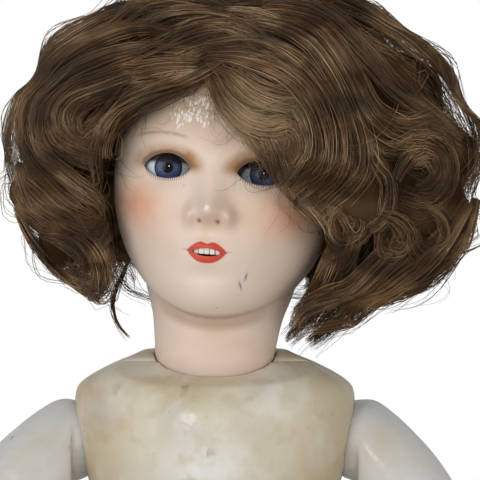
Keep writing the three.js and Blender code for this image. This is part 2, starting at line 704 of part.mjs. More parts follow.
function makeTorsoShell() {
  const far = 150;
  const cups = [];
  const blocks = [];
  for (const side of [1, -1]) {
    const shoulder = sidePoint(SHOULDER, side);
    cups.push(hollowBall(SHOULDER_BALL_RADIUS + RUNNING_GAP, shoulder));
    blocks.push(hollowBall(SHOULDER_BALL_RADIUS + TORSO_WALL, shoulder, 12));
    cups.push(legRoom(side, 0));
    blocks.push(legRoom(side, TORSO_WALL));
    const hip = sidePoint(HIP, side);
    cups.push(bar(SLOT_WIDTH / 2, hip, hip.clone().setZ(HIP.z + 40), BORE_SIDES));
  }
  const armHole = CORD_RADIUS * 2.2;
  const armEnd = new THREE.Vector3(SHOULDER.x, SHOULDER.y, SHOULDER.z);
  cups.push(bar(armHole, armEnd, sidePoint(armEnd, -1), BORE_SIDES));
  cups.push(hollowBall(NECK_BALL_RADIUS + RUNNING_GAP, NECK_PIVOT, 18));
  blocks.push(hollowBall(NECK_BALL_RADIUS + TORSO_WALL, NECK_PIVOT, 12));
  cups.push(bar(NECK_HOLE_RADIUS, NECK_PIVOT, NECK_PIVOT.clone().setZ(NECK_PIVOT.z - 40), 12));
  const brim = NECK_BALL_RADIUS + RUNNING_GAP;
  const flare = turned([[brim * 0.94, -8], [brim + NECKLINE_EASE, 0], [brim + NECKLINE_FLARE, 16]], 18);
  cups.push(solid(flare.translate(NECK_PIVOT.x, NECK_PIVOT.y, NECK_PIVOT.z)));
  const above = surface(block(new THREE.Vector3(-far, -far, 0), new THREE.Vector3(far, far, far)));
  const level = (drop, lean) => solid(above.clone().rotateX(lean).translate(0, 0, NECK_PIVOT.z - drop));
  blocks.push(level(NECKLINE_SIDE_DROP + TORSO_WALL, NECKLINE_LEAN));
  blocks.push(level(NECKLINE_BACK_DROP + TORSO_WALL, 0));
  const neckline = level(NECKLINE_SIDE_DROP, NECKLINE_LEAN);
  const nape = level(NECKLINE_BACK_DROP, 0);
  const hollow = cut(torsoForm(TORSO_WALL, INNER_LEVELS, 16), ...blocks);
  return cut(torsoForm(0, TORSO_LEVELS, 28), hollow, ...cups, neckline, nape);
}

function addTorso(parent) {
  const shell = makeTorsoShell();
  const far = 300;
  const seam = TORSO_SEAM_Y;
  const frontEnd = new THREE.Vector3(far, seam - LAID_GAP / 2, far);
  const backStart = new THREE.Vector3(-far, seam + LAID_GAP / 2, -far);
  const ahead = block(new THREE.Vector3(-far, -far, -far), frontEnd);
  const behind = block(backStart, new THREE.Vector3(far, far, far));
  addPiece(parent, 'torso_front', shell.intersect(ahead), FINISH.body);
  addPiece(parent, 'torso_back', shell.intersect(behind), FINISH.body);
}

// Elastics inside the torso: one straight across between the arms, one from hip to hip over the hook.
function addTorsoElastics(parent) {
  const armEnd = SHOULDER.clone().setX(SHOULDER.x - PIN_RADIUS - CORD_GAP);
  addPiece(parent, 'arm_elastic', bar(CORD_RADIUS, sidePoint(armEnd, -1), armEnd), FINISH.elastic);
  const top = NECK_PIVOT.z - STIRRUP_DROP + CORD_RADIUS + 2 * CORD_GAP;
  const rise = [
    new THREE.Vector3(HIP.x, HIP.y, HIP.z + PIN_RADIUS + CORD_GAP),
    new THREE.Vector3(HIP.x, HIP.y, HIP.z + HIP_BALL_RADIUS * 0.6),
    new THREE.Vector3(HIP.x, HIP.y, HIP.z + HIP_BALL_RADIUS + 8),
    new THREE.Vector3(HIP.x * 0.72, HIP.y * 0.7, HIP.z + 58),
    new THREE.Vector3(HIP.x * 0.3, 0, top - 10),
    new THREE.Vector3(HIP.x * 0.14, 0, top - 0.4),
  ];
  const fall = rise.map((p) => sidePoint(p, -1)).reverse();
  const route = [...rise, new THREE.Vector3(0, 0, top), ...fall];
  addPiece(parent, 'leg_elastic', cord(CORD_RADIUS, route, 26), FINISH.elastic);
}

// Arms, drawn for the doll's left and mirrored for its right. A limb hangs along -Z in its own frame.

function makeUpperArm() {
  const rim = UPPER_ARM_LENGTH - ELBOW_RIM_OFFSET;
  const cup = ELBOW_BALL_RADIUS + RUNNING_GAP;
  const rimRadius = Math.sqrt(cup ** 2 - ELBOW_RIM_OFFSET ** 2) + 1.2;
  const points = [
    [rimRadius, -rim],
    [rimRadius + 2.6, -rim + 5],
    [UPPER_ARM_RADIUS - 2, -UPPER_ARM_LENGTH * 0.64],
    [UPPER_ARM_RADIUS, -UPPER_ARM_LENGTH * 0.38],
    [UPPER_ARM_RADIUS * 0.96, -UPPER_ARM_LENGTH * 0.16],
    [SHOULDER_BALL_RADIUS, 2],
    [SHOULDER_BALL_RADIUS * 0.82, 11],
    [SHOULDER_BALL_RADIUS * 0.4, 16.4],
  ];
  const limb = solid(surface(solid(turned(points, LIMB_SIDES, 9))).rotateY(-ARM_SPREAD));
  const flatSide = torsoSide() + ARM_SIDE_GAP - SHOULDER.x;
  const far = 120;
  const inner = block(new THREE.Vector3(-far, -far, -far), new THREE.Vector3(flatSide, far, far));
  const shoulder = ball(SHOULDER_BALL_RADIUS, onAxis(0));
  const whole = solid(surface(join(cut(limb, inner), shoulder)).rotateY(ARM_SPREAD));
  const elbowCup = hollowBall(cup, onAxis(-UPPER_ARM_LENGTH));
  const bore = bar(LIMB_BORE_RADIUS, onAxis(-UPPER_ARM_LENGTH), onAxis(0), BORE_SIDES);
  const entry = surface(bar(CORD_RADIUS * 2, new THREE.Vector3(-far, 0, 0), onAxis(0), BORE_SIDES));
  const pinRoom = bar(PIN_RADIUS + LAID_GAP, ...pinEnds(LAID_GAP));
  return cut(whole, elbowCup, bore, solid(entry.rotateY(ARM_SPREAD)), pinRoom);
}

// Widest half width of the torso within the sweep of the arm.
function torsoSide() {
  let widest = 0;
  for (const z of TORSO_LEVELS) {
    if (Math.abs(z - SHOULDER.z) < UPPER_ARM_LENGTH) widest = Math.max(widest, torsoWidth(z));
  }
  return widest;
}

function pinEnds(gap) {
  const reach = PIN_HALF_LENGTH + gap;
  return [new THREE.Vector3(0, -reach, 0), new THREE.Vector3(0, reach, 0)];
}

function makeElbowBall() {
  const whole = ball(ELBOW_BALL_RADIUS, onAxis(0));
  const bore = bar(LIMB_BORE_RADIUS * 0.8, onAxis(0), onAxis(-ELBOW_BALL_RADIUS * 1.2), BORE_SIDES);
  return cut(whole, bore, sweptSlot(ELBOW_BALL_RADIUS, LIMB_BORE_RADIUS * 2, radians(75)));
}

function makeForearm() {
  const elbowCup = ELBOW_BALL_RADIUS + RUNNING_GAP;
  const topRadius = Math.sqrt(elbowCup ** 2 - ELBOW_RIM_OFFSET ** 2) + 1.2;
  const wristCup = WRIST_BALL_RADIUS + RUNNING_GAP;
  const wristRadius = Math.sqrt(wristCup ** 2 - WRIST_RIM_OFFSET ** 2) + 1.1;
  const points = [
    [wristRadius, -FOREARM_LENGTH + WRIST_RIM_OFFSET],
    [wristRadius + 0.4, -FOREARM_LENGTH * 0.8],
    [FOREARM_RADIUS * 0.86, -FOREARM_LENGTH * 0.55],
    [FOREARM_RADIUS, -FOREARM_LENGTH * 0.32],
    [topRadius, -ELBOW_RIM_OFFSET],
  ];
  const cups = [hollowBall(elbowCup, onAxis(0)), hollowBall(wristCup, onAxis(-FOREARM_LENGTH), 14)];
  const bore = bar(LIMB_BORE_RADIUS * 0.8, onAxis(-FOREARM_LENGTH), onAxis(0), BORE_SIDES);
  return cut(solid(turned(points, LIMB_SIDES, 7)), ...cups, bore);
}

// A hand with a ball at the wrist. The palm faces the body, the fingers curl a little.
function makeHand() {
  const palmTop = WRIST_BALL_RADIUS + 1;
  const neck = bar(WRIST_BALL_RADIUS * 0.72, onAxis(0), onAxis(-palmTop - 4), BORE_SIDES);
  const palmShape = (p) => {
    const down = (1 - p.z) / 2;
    const width = (PALM_WIDTH / 2) * (0.72 + 0.28 * down);
    p.set(p.x * (PALM_THICKNESS / 2), p.y * width, -palmTop - down * PALM_LENGTH);
  };
  const palm = solid(moved(new THREE.SphereGeometry(1, 12, 8).rotateX(Math.PI / 2), palmShape));
  const lengths = [0.84, 1, 0.94, 0.76];
  const pitch = (PALM_WIDTH - 3) / lengths.length;
  const knuckles = -palmTop - PALM_LENGTH * 0.72;
  const fingers = lengths.map((share, i) => {
    const y = (i - (lengths.length - 1) / 2) * pitch;
    const fan = -0.07 * (i - (lengths.length - 1) / 2);
    return digit(FINGER_LENGTH * share + PALM_LENGTH * 0.3, 1, fan, new THREE.Vector3(0, y, knuckles));
  });
  const thumbRoot = new THREE.Vector3(0, -PALM_WIDTH * 0.32, -palmTop - PALM_LENGTH * 0.3);
  const thumb = digit(FINGER_LENGTH * 0.95, 1.08, radians(38), thumbRoot);
  return join(ball(WRIST_BALL_RADIUS, onAxis(0), 12), neck, palm, ...fingers, thumb);
}

function digit(length, girth, fan, root) {
  const radius = FINGER_RADIUS * girth;
  const points = [
    [radius * 0.5, -length],
    [radius * 0.86, -length + radius * 0.8],
    [radius, -length * 0.55],
    [radius, 0],
  ];
  const curl = 0.0075;
  const bent = moved(turned(points, 6), (p) => {
    p.x -= curl * p.z * p.z;
  });
  return solid(bent.rotateX(-fan).translate(root.x, root.y, root.z));
}

function addArm(doll, word, side, swing) {
  const mirror = new THREE.Group();
  mirror.scale.x = side;
  doll.add(mirror);
  const shoulder = addGroup(mirror, `${word}_shoulder`, SHOULDER, [-swing, 0, 0]);
  const upper = addGroup(shoulder, '', onAxis(0), [0, -ARM_SPREAD, 0]);
  addPiece(upper, `${word}_upper_arm`, makeUpperArm(), FINISH.limb);
  addPiece(upper, `${word}_shoulder_pin`, bar(PIN_RADIUS, ...pinEnds(0)), FINISH.wire);
  const cordTop = onAxis(-PIN_RADIUS - CORD_GAP);
  const upperCord = bar(CORD_RADIUS, onAxis(-UPPER_ARM_LENGTH + CORD_GAP), cordTop);
  addPiece(upper, `${word}_upper_arm_elastic`, upperCord, FINISH.elastic);
  const elbow = addGroup(upper, `${word}_elbow`, onAxis(-UPPER_ARM_LENGTH), [-ELBOW_BEND, 0, 0]);
  addPiece(elbow, `${word}_elbow_ball`, makeElbowBall(), FINISH.wood);
  addPiece(elbow, `${word}_forearm`, makeForearm(), FINISH.limb);
  const foreBottom = onAxis(-FOREARM_LENGTH + WRIST_BALL_RADIUS + CORD_GAP);
  const foreCord = bar(CORD_RADIUS, foreBottom, onAxis(-CORD_RADIUS - 2 * CORD_GAP));
  addPiece(elbow, `${word}_forearm_elastic`, foreCord, FINISH.elastic);
  const wrist = addGroup(elbow, `${word}_wrist`, onAxis(-FOREARM_LENGTH));
  addPiece(wrist, `${word}_hand`, makeHand(), FINISH.limb);
}

// Legs, drawn hanging along -Z with the toes towards -Y, then turned forward to sit.

function makeThigh() {
  const cup = KNEE_BALL_RADIUS + RUNNING_GAP;
  const rimRadius = Math.sqrt(cup ** 2 - KNEE_RIM_OFFSET ** 2) + 1.3;
  const rim = THIGH_LENGTH - KNEE_RIM_OFFSET;
  const points = [
    [rimRadius, -rim],
    [rimRadius + 3, -rim + 6],
    [HIP_BALL_RADIUS * 0.88, -THIGH_LENGTH * 0.5],
    [HIP_BALL_RADIUS * 0.985, -THIGH_LENGTH * 0.2],
    [HIP_BALL_RADIUS * 0.985, 0],
  ];
  const whole = join(solid(turned(points, LIMB_SIDES, 7)), ball(HIP_BALL_RADIUS, onAxis(0)));
  const bore = bar(LIMB_BORE_RADIUS, onAxis(-THIGH_LENGTH), onAxis(0), BORE_SIDES);
  const slot = sweptSlot(HIP_BALL_RADIUS, SLOT_WIDTH, radians(108));
  const pinRoom = bar(PIN_RADIUS + LAID_GAP, ...hipPinEnds(LAID_GAP));
  return cut(whole, hollowBall(cup, onAxis(-THIGH_LENGTH)), bore, slot, pinRoom);
}

function hipPinEnds(gap) {
  const reach = PIN_HALF_LENGTH + gap;
  return [new THREE.Vector3(-reach, 0, 0), new THREE.Vector3(reach, 0, 0)];
}

function makeKneeBall() {
  const whole = ball(KNEE_BALL_RADIUS, onAxis(0));
  const bore = bar(LIMB_BORE_RADIUS, onAxis(0), onAxis(-KNEE_BALL_RADIUS * 1.2), BORE_SIDES);
  return cut(whole, bore, sweptSlot(KNEE_BALL_RADIUS, LIMB_BORE_RADIUS * 2, radians(-75)));
}

function makeLowerLeg() {
  const cup = KNEE_BALL_RADIUS + RUNNING_GAP;
  const rimRadius = Math.sqrt(cup ** 2 - KNEE_RIM_OFFSET ** 2) + 1.3;
  const points = [
    [ANKLE_RADIUS * 0.9, -SHIN_LENGTH - 4],
    [ANKLE_RADIUS, -SHIN_LENGTH * 0.9],
    [CALF_RADIUS * 0.86, -SHIN_LENGTH * 0.6],
    [CALF_RADIUS, -SHIN_LENGTH * 0.36],
    [rimRadius, -KNEE_RIM_OFFSET],
  ];
  const shin = solid(turned(points, LIMB_SIDES, 7));
  const bore = bar(LIMB_BORE_RADIUS, onAxis(-SHIN_LENGTH * SHIN_BORE_SHARE), onAxis(0), BORE_SIDES);
  return cut(join(shin, makeFoot()), hollowBall(cup, onAxis(0)), bore);
}

// A bare foot: round heel, flat sole, broad low toes.
function makeFoot() {
  const sole = -SHIN_LENGTH - FOOT_HEIGHT * 0.62;
  const shape = (p) => {
    const ahead = (1 - p.y) / 2;
    const high = FOOT_HEIGHT * (1 - 0.55 * ahead ** 1.3);
    const wide = (FOOT_WIDTH / 2) * (0.74 + 0.26 * THREE.MathUtils.smoothstep(ahead, 0.2, 0.8));
    const lift = Math.max(p.z, -0.55) + 0.55;
    p.set(p.x * wide, HEEL_BACK - ahead * FOOT_LENGTH, sole + (lift / 1.55) * high);
  };
  return solid(moved(new THREE.SphereGeometry(1, 14, 10), shape));
}

function addLeg(doll, word, side) {
  const mirror = new THREE.Group();
  mirror.scale.x = side;
  doll.add(mirror);
  const hip = addGroup(mirror, `${word}_hip`, HIP);
  const splay = addGroup(hip, '', onAxis(0), [0, 0, LEG_SPLAY]);
  const thigh = addGroup(splay, '', onAxis(0), [-Math.PI / 2 + LEG_DROOP, 0, 0]);
  addPiece(thigh, `${word}_thigh`, makeThigh(), FINISH.limb);
  addPiece(thigh, `${word}_hip_pin`, bar(PIN_RADIUS, ...hipPinEnds(0)), FINISH.wire);
  const thighCord = bar(CORD_RADIUS, onAxis(-THIGH_LENGTH + CORD_GAP), onAxis(-PIN_RADIUS - CORD_GAP));
  addPiece(thigh, `${word}_thigh_elastic`, thighCord, FINISH.elastic);
  const knee = addGroup(thigh, `${word}_knee`, onAxis(-THIGH_LENGTH), [-KNEE_LIFT, 0, 0]);
  addPiece(knee, `${word}_knee_ball`, makeKneeBall(), FINISH.wood);
  addPiece(knee, `${word}_lower_leg`, makeLowerLeg(), FINISH.limb);
  const shinBottom = onAxis(-SHIN_LENGTH * SHIN_BORE_SHARE + CORD_GAP);
  const shinCord = bar(CORD_RADIUS, shinBottom, onAxis(-CORD_RADIUS - 2 * CORD_GAP));
  addPiece(knee, `${word}_shin_elastic`, shinCord, FINISH.elastic);
}

// Assembly

function addHead(doll) {
  const head = addGroup(doll, 'head', NECK_PIVOT, [0, HEAD_ROLL, HEAD_TURN]);
  addPiece(head, 'head_shell', makeHeadShell(), FINISH.face);
  addPiece(head, 'crown_pate', makePate(), FINISH.card);
  addPiece(head, 'wig_cap', makeWigCap(), FINISH.gauze);
  addPiece(head, 'wig_hair', makeWigHair(), FINISH.hair);
  addPiece(head, 'upper_teeth', makeTeeth(), FINISH.teeth);
  for (const [word, side] of Object.entries(EYE_SIDES)) {
    addPiece(head, `${word}_eye`, ball(EYE_RADIUS, eyeCentre(side), 16), FINISH.glass);
  }
  addPiece(head, 'eye_bridge', makeEyeBridge(), FINISH.wire);
  addPiece(head, 'eye_weight', makeEyeWeight(), FINISH.lead);
  addPiece(head, 'neck_button', makeNeckButton(), FINISH.wood);
  const upright = addGroup(doll, 'neck_fitting', NECK_PIVOT);
  addPiece(upright, 'neck_hook', makeNeckHook(), FINISH.wire);
  addGroup(head, 'eyes', new THREE.Vector3(0, EYE_DEPTH, SKULL.z));
}

function makeDoll() {
  const doll = new THREE.Group();
  addTorso(doll);
  addTorsoElastics(doll);
  addHead(doll);
  addArm(doll, 'left', 1, LEFT_ARM_SWING);
  addArm(doll, 'right', -1, RIGHT_ARM_SWING);
  addLeg(doll, 'left', 1);
  addLeg(doll, 'right', -1);
  return doll;
}

export default makeDoll();
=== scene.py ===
"""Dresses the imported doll: painted head, glass eyes, wavy wig, and a stained papier-mache body and limbs."""

import json
import logging
import math
from dataclasses import dataclass
from enum import Enum
from typing import Callable, Optional, Sequence, Union

import bmesh
import bpy
import numpy as np
from mathutils import Matrix, Vector


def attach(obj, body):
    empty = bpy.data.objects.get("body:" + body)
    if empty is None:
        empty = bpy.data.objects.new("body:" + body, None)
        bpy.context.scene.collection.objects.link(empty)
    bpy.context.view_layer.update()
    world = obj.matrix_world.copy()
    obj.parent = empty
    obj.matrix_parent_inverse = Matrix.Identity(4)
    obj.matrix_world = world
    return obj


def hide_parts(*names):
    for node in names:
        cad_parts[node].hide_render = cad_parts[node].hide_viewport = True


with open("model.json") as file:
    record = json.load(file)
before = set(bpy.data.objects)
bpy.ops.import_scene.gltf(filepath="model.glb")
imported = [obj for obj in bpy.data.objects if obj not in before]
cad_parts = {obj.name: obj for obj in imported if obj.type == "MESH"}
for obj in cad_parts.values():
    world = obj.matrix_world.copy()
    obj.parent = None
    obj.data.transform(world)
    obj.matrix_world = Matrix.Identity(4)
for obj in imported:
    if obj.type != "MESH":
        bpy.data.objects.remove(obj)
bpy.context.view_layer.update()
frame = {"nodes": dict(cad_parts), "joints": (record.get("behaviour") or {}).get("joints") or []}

MM = 0.001
FAR = 300.0  # Millimetres that reach past the doll on every side.
EVEN = (1.0, 1.0, 1.0)
MIX_UNDER, MIX_OVER, MIX_RESULT = 6, 7, 2  # Sockets of a Mix node when it mixes colours.
log = logging.getLogger("doll")

Colour = tuple[int, int, int]
Profile = Sequence[tuple[float, float]]
Reading = Union[float, np.ndarray]
Value = Union["Field", bpy.types.NodeSocket, float, Sequence[float]]
Form = Union["Clay", bmesh.types.BMesh]


def bell(value: float) -> float:
    """A round hump, 1 at zero."""
    return math.exp(-value * value)


def smoothstep(value: Reading, low: float, high: float) -> Reading:
    """Eases from 0 at low to 1 at high."""
    share = np.clip((value - low) / (high - low), 0, 1)
    return share * share * (3 - 2 * share)


def linear(colour: Colour) -> tuple[float, float, float, float]:
    """A colour of 0 to 255 in the shader's own scale."""
    parts = [c / 255 for c in colour]
    return (*(c / 12.92 if c <= 0.04045 else ((c + 0.055) / 1.055) ** 2.4 for c in parts), 1.0)


def through(points: Profile, steps: int) -> list[tuple[float, float]]:
    """Samples a smooth curve through points.

    Args:
        points: The corners that the curve goes through.
        steps: How many pieces the curve is cut into.

    Returns:
        The sampled points, both ends included.
    """
    table = np.array(points, float)
    last = len(table) - 1
    made = []
    for step in range(steps + 1):
        at = last * step / steps
        first = min(int(at), last - 1)
        share = at - first
        before, after = table[max(first - 1, 0)], table[min(first + 2, last)]
        low, high = table[first], table[first + 1]
        leave, arrive = (high - before) / 2, (after - low) / 2
        cube = (2 * low - 2 * high + leave + arrive) * share**3
        square = (-3 * low + 3 * high - 2 * leave - arrive) * share**2
        made.append(tuple(cube + square + leave * share + low))
    return made


def hinge(name: str) -> tuple[Vector, Vector]:
    """The point in metres and the direction of a joint's axis."""
    found = next(j for j in frame["joints"] if j["name"] == name)
    return Vector(found["pos_m"]), Vector(found["axis"])


def carrier(origin: Vector, x_axis: Vector, z_axis: Vector) -> Matrix:
    """A sub-assembly's own frame, from millimetres to metres of the row.

    Args:
        origin: Where its own origin lies, in metres.
        x_axis: Its own X.
        z_axis: Its own Z.

    Returns:
        The matrix that carries its points into the row's frame.
    """
    z_axis = z_axis.normalized()
    y_axis = z_axis.cross(x_axis).normalized()
    x_axis = y_axis.cross(z_axis)
    turn = Matrix((x_axis, y_axis, z_axis)).transposed().to_4x4()
    return Matrix.Translation(origin) @ turn @ Matrix.Scale(MM, 4)


def tilt(degrees: float) -> Matrix:
    """A turn about X."""
    return Matrix.Rotation(math.radians(degrees), 4, "X")


def connect(tree: bpy.types.NodeTree, socket: bpy.types.NodeSocket, value: Value) -> None:
    """Sets an input of a node, or links a field or another node's output to it.

    Args:
        tree: The node tree.
        socket: The input.
        value: A plain value, a field or another node's output.
    """
    if isinstance(value, Field):
        value = value.socket
    if isinstance(value, bpy.types.NodeSocket):
        tree.links.new(value, socket)
    else:
        socket.default_value = value


def add_node(tree: bpy.types.NodeTree, kind: str, inputs: dict[Union[int, str], Value],
             **settings: str) -> bpy.types.Node:
    """Adds a node.

    Args:
        tree: The tree that it belongs to.
        kind: Its type.
        inputs: What its inputs are set or linked to.
        settings: Its options.

    Returns:
        The node.
    """
    node = tree.nodes.new(kind)
    for name, value in settings.items():
        setattr(node, name, value)
    for key, value in inputs.items():
        connect(tree, node.inputs[key], value)
    return node


class Field:
    """A number that varies over a surface, kept as the output of a shader node."""

    def __init__(self, tree: bpy.types.NodeTree, socket: bpy.types.NodeSocket) -> None:
        """Keeps the node's output."""
        self.tree = tree
        self.socket = socket

    def _node(self, operation: str, first: "Number", second: "Number" = 0.0) -> "Field":
        """Adds one Math node.

        Args:
            operation: What the node does.
            first: Its first number.
            second: Its second number.

        Returns:
            The node's result.
        """
        node = add_node(self.tree, "ShaderNodeMath", {0: first, 1: second}, operation=operation)
        return Field(self.tree, node.outputs[0])

    def __add__(self, other: "Number") -> "Field":
        """Sum."""
        return self._node("ADD", self, other)

    def __sub__(self, other: "Number") -> "Field":
        """Difference."""
        return self._node("SUBTRACT", self, other)

    def __rsub__(self, other: float) -> "Field":
        """Difference from a plain number."""
        return self._node("SUBTRACT", other, self)

    def __mul__(self, other: "Number") -> "Field":
        """Product."""
        return self._node("MULTIPLY", self, other)

    def __truediv__(self, other: "Number") -> "Field":
        """Share."""
        return self._node("DIVIDE", self, other)

    def size(self) -> "Field":
        """The number without its sign."""
        return self._node("ABSOLUTE", self)

    def angle(self) -> "Field":
        """The angle in radians whose cosine the value is."""
        return self._node("ARCCOSINE", self)

    def heading(self, other: "Field") -> "Field":
        """The angle in radians whose tangent is this number over another."""
        return self._node("ARCTAN2", self, other)

    def power(self, exponent: float) -> "Field":
        """The number raised to a power."""
        return self._node("POWER", self, exponent)

    def most(self, other: "Number") -> "Field":
        """The larger of two numbers."""
        return self._node("MAXIMUM", self, other)

    def wave(self, period: float) -> "Field":
        """A sine of the number, from -1 to 1."""
        return self._node("SINE", self * (2 * math.pi / period))

    def bell(self, centre: float = 0.0, width: float = 1.0) -> "Field":
        """A round hump about a centre."""
        off = (self - centre) / width
        return self._node("EXPONENT", off * off * -1.0)

    def ramp(self, low: float, high: float) -> "Field":
        """Eases from 0 at low to 1 at high, which may lie below low."""
        node = add_node(self.tree, "ShaderNodeMapRange", {"Value": self, "From Min": low, "From Max": high},
                        interpolation_type="SMOOTHSTEP")
        return Field(self.tree, node.outputs["Result"])


Number = Union[Field, float]


class Paint:
    """A node material while it is being mixed, in millimetres of the piece's own frame."""

    def __init__(self, name: str, base: Colour, carried: Optional[Matrix] = None) -> None:
        """Starts the material.

        Args:
            name: The material's name.
            base: Its ground colour.
            carried: The frame that its pattern is laid out in.
        """
        self.material = bpy.data.materials.new(name)
        self.material.use_nodes = True
        self.tree = self.material.node_tree
        self.shader = self.tree.nodes["Principled BSDF"]
        self.material.diffuse_color = linear(base)
        self.top: Value = linear(base)
        coordinates = self.tree.nodes.new("ShaderNodeTexCoord")
        laid_out = {"Vector": coordinates.outputs["Object"], "Scale": (MM, MM, MM)}
        if carried is not None:
            laid_out["Location"] = carried.translation
            laid_out["Rotation"] = carried.normalized().to_euler("XYZ")
        mapping = add_node(self.tree, "ShaderNodeMapping", laid_out, vector_type="TEXTURE")
        self.place = mapping.outputs["Vector"]
        split = add_node(self.tree, "ShaderNodeSeparateXYZ", {0: self.place})
        self.x, self.y, self.z = (Field(self.tree, out) for out in split.outputs)

    def _moved(self, stretch: tuple[float, float, float], shift: float) -> bpy.types.NodeSocket:
        """The pattern's coordinates, stretched and shifted."""
        moves = {0: self.place, 1: stretch, 2: (shift, 1.7 * shift, -shift)}
        return add_node(self.tree, "ShaderNodeVectorMath", moves, operation="MULTIPLY_ADD").outputs[0]

    def noise(self, size: float, detail: float = 3.0, shift: float = 0.0,
              stretch: tuple[float, float, float] = EVEN, twist: float = 0.0) -> Field:
        """A cloudy pattern.

        Args:
            size: Width of a cloud.
            detail: How many finer layers it has.
            shift: Moves the pattern, so that two uses differ.
            stretch: Factors along the three axes.
            twist: How far the pattern is distorted.

        Returns:
            The pattern, from 0 to 1 about 0.5.
        """
        clouds = {"Vector": self._moved(stretch, shift), "Scale": 1 / size, "Detail": detail,
                  "Distortion": twist}
        return Field(self.tree, add_node(self.tree, "ShaderNodeTexNoise", clouds).outputs["Fac"])

    def cells(self, size: float, shift: float = 0.0, edges: bool = False) -> Field:
        """Distances in a field of cells.

        Args:
            size: Width of a cell.
            shift: Moves the pattern.
            edges: Distance to the cells' edges in place of their middles.

        Returns:
            The distance, as a share of the cell's width.
        """
        layout = {"Vector": self._moved(EVEN, shift), "Scale": 1 / size}
        feature = "DISTANCE_TO_EDGE" if edges else "F1"
        node = add_node(self.tree, "ShaderNodeTexVoronoi", layout, feature=feature)
        return Field(self.tree, node.outputs["Distance"])

    def lay(self, colour: Colour, amount: Field) -> None:
        """Lays a colour over what is there.

        Args:
            colour: The colour.
            amount: How much of it shows, from 0 to 1.
        """
        layers = {0: amount, MIX_UNDER: self.top, MIX_OVER: linear(colour)}
        self.top = add_node(self.tree, "ShaderNodeMix", layers, data_type="RGBA").outputs[MIX_RESULT]

    def feed(self, name: str, value: Value) -> None:
        """Sets a value of the shader, or links a pattern to it."""
        connect(self.tree, self.shader.inputs[name], value)

    def gloss(self, roughness: Number, coat: Number = 0.0, coat_roughness: float = 0.1,
              metal: float = 0.0) -> None:
        """Sets how the surface shines.

        Args:
            roughness: Of the paint itself.
            coat: How much varnish lies on it.
            coat_roughness: Of the varnish.
            metal: 1 for bare metal.
        """
        self.feed("Roughness", roughness)
        self.feed("Coat Weight", coat)
        self.feed("Coat Roughness", coat_roughness)
        self.feed("Metallic", metal)

    def bump(self, height: Field, depth: float, strength: float = 1.0, on_coat: bool = True) -> None:
        """Roughens the surface.

        Args:
            height: The pattern.
            depth: Its depth in millimetres.
            strength: Its strength.
            on_coat: Whether the varnish follows it.
        """
        relief = {"Strength": strength, "Distance": depth * MM, "Height": height}
        normal = add_node(self.tree, "ShaderNodeBump", relief).outputs["Normal"]
        self.feed("Normal", normal)
        if on_coat:
            self.feed("Coat Normal", normal)

    def done(self) -> bpy.types.Material:
        """Connects the colour and gives the material."""
        self.feed("Base Color", self.top)
        return self.material


def mesh_of(name: str, bm: bmesh.types.BMesh) -> bpy.types.Mesh:
    """A mesh with the shape of a bmesh, which is freed."""
    mesh = bpy.data.meshes.new(name)
    bm.to_mesh(mesh)
    bm.free()
    return mesh


def placed(name: str, data: bpy.types.ID) -> bpy.types.Object:
    """A new object in the scene."""
    made = bpy.data.objects.new(name, data)
    bpy.context.scene.collection.objects.link(made)
    return made


def frozen(drawn: bpy.types.Object) -> bpy.types.Mesh:
    """The shape that an object has after its modifiers, or that its curves draw."""
    graph = bpy.context.evaluated_depsgraph_get()
    return bpy.data.meshes.new_from_object(drawn.evaluated_get(graph))


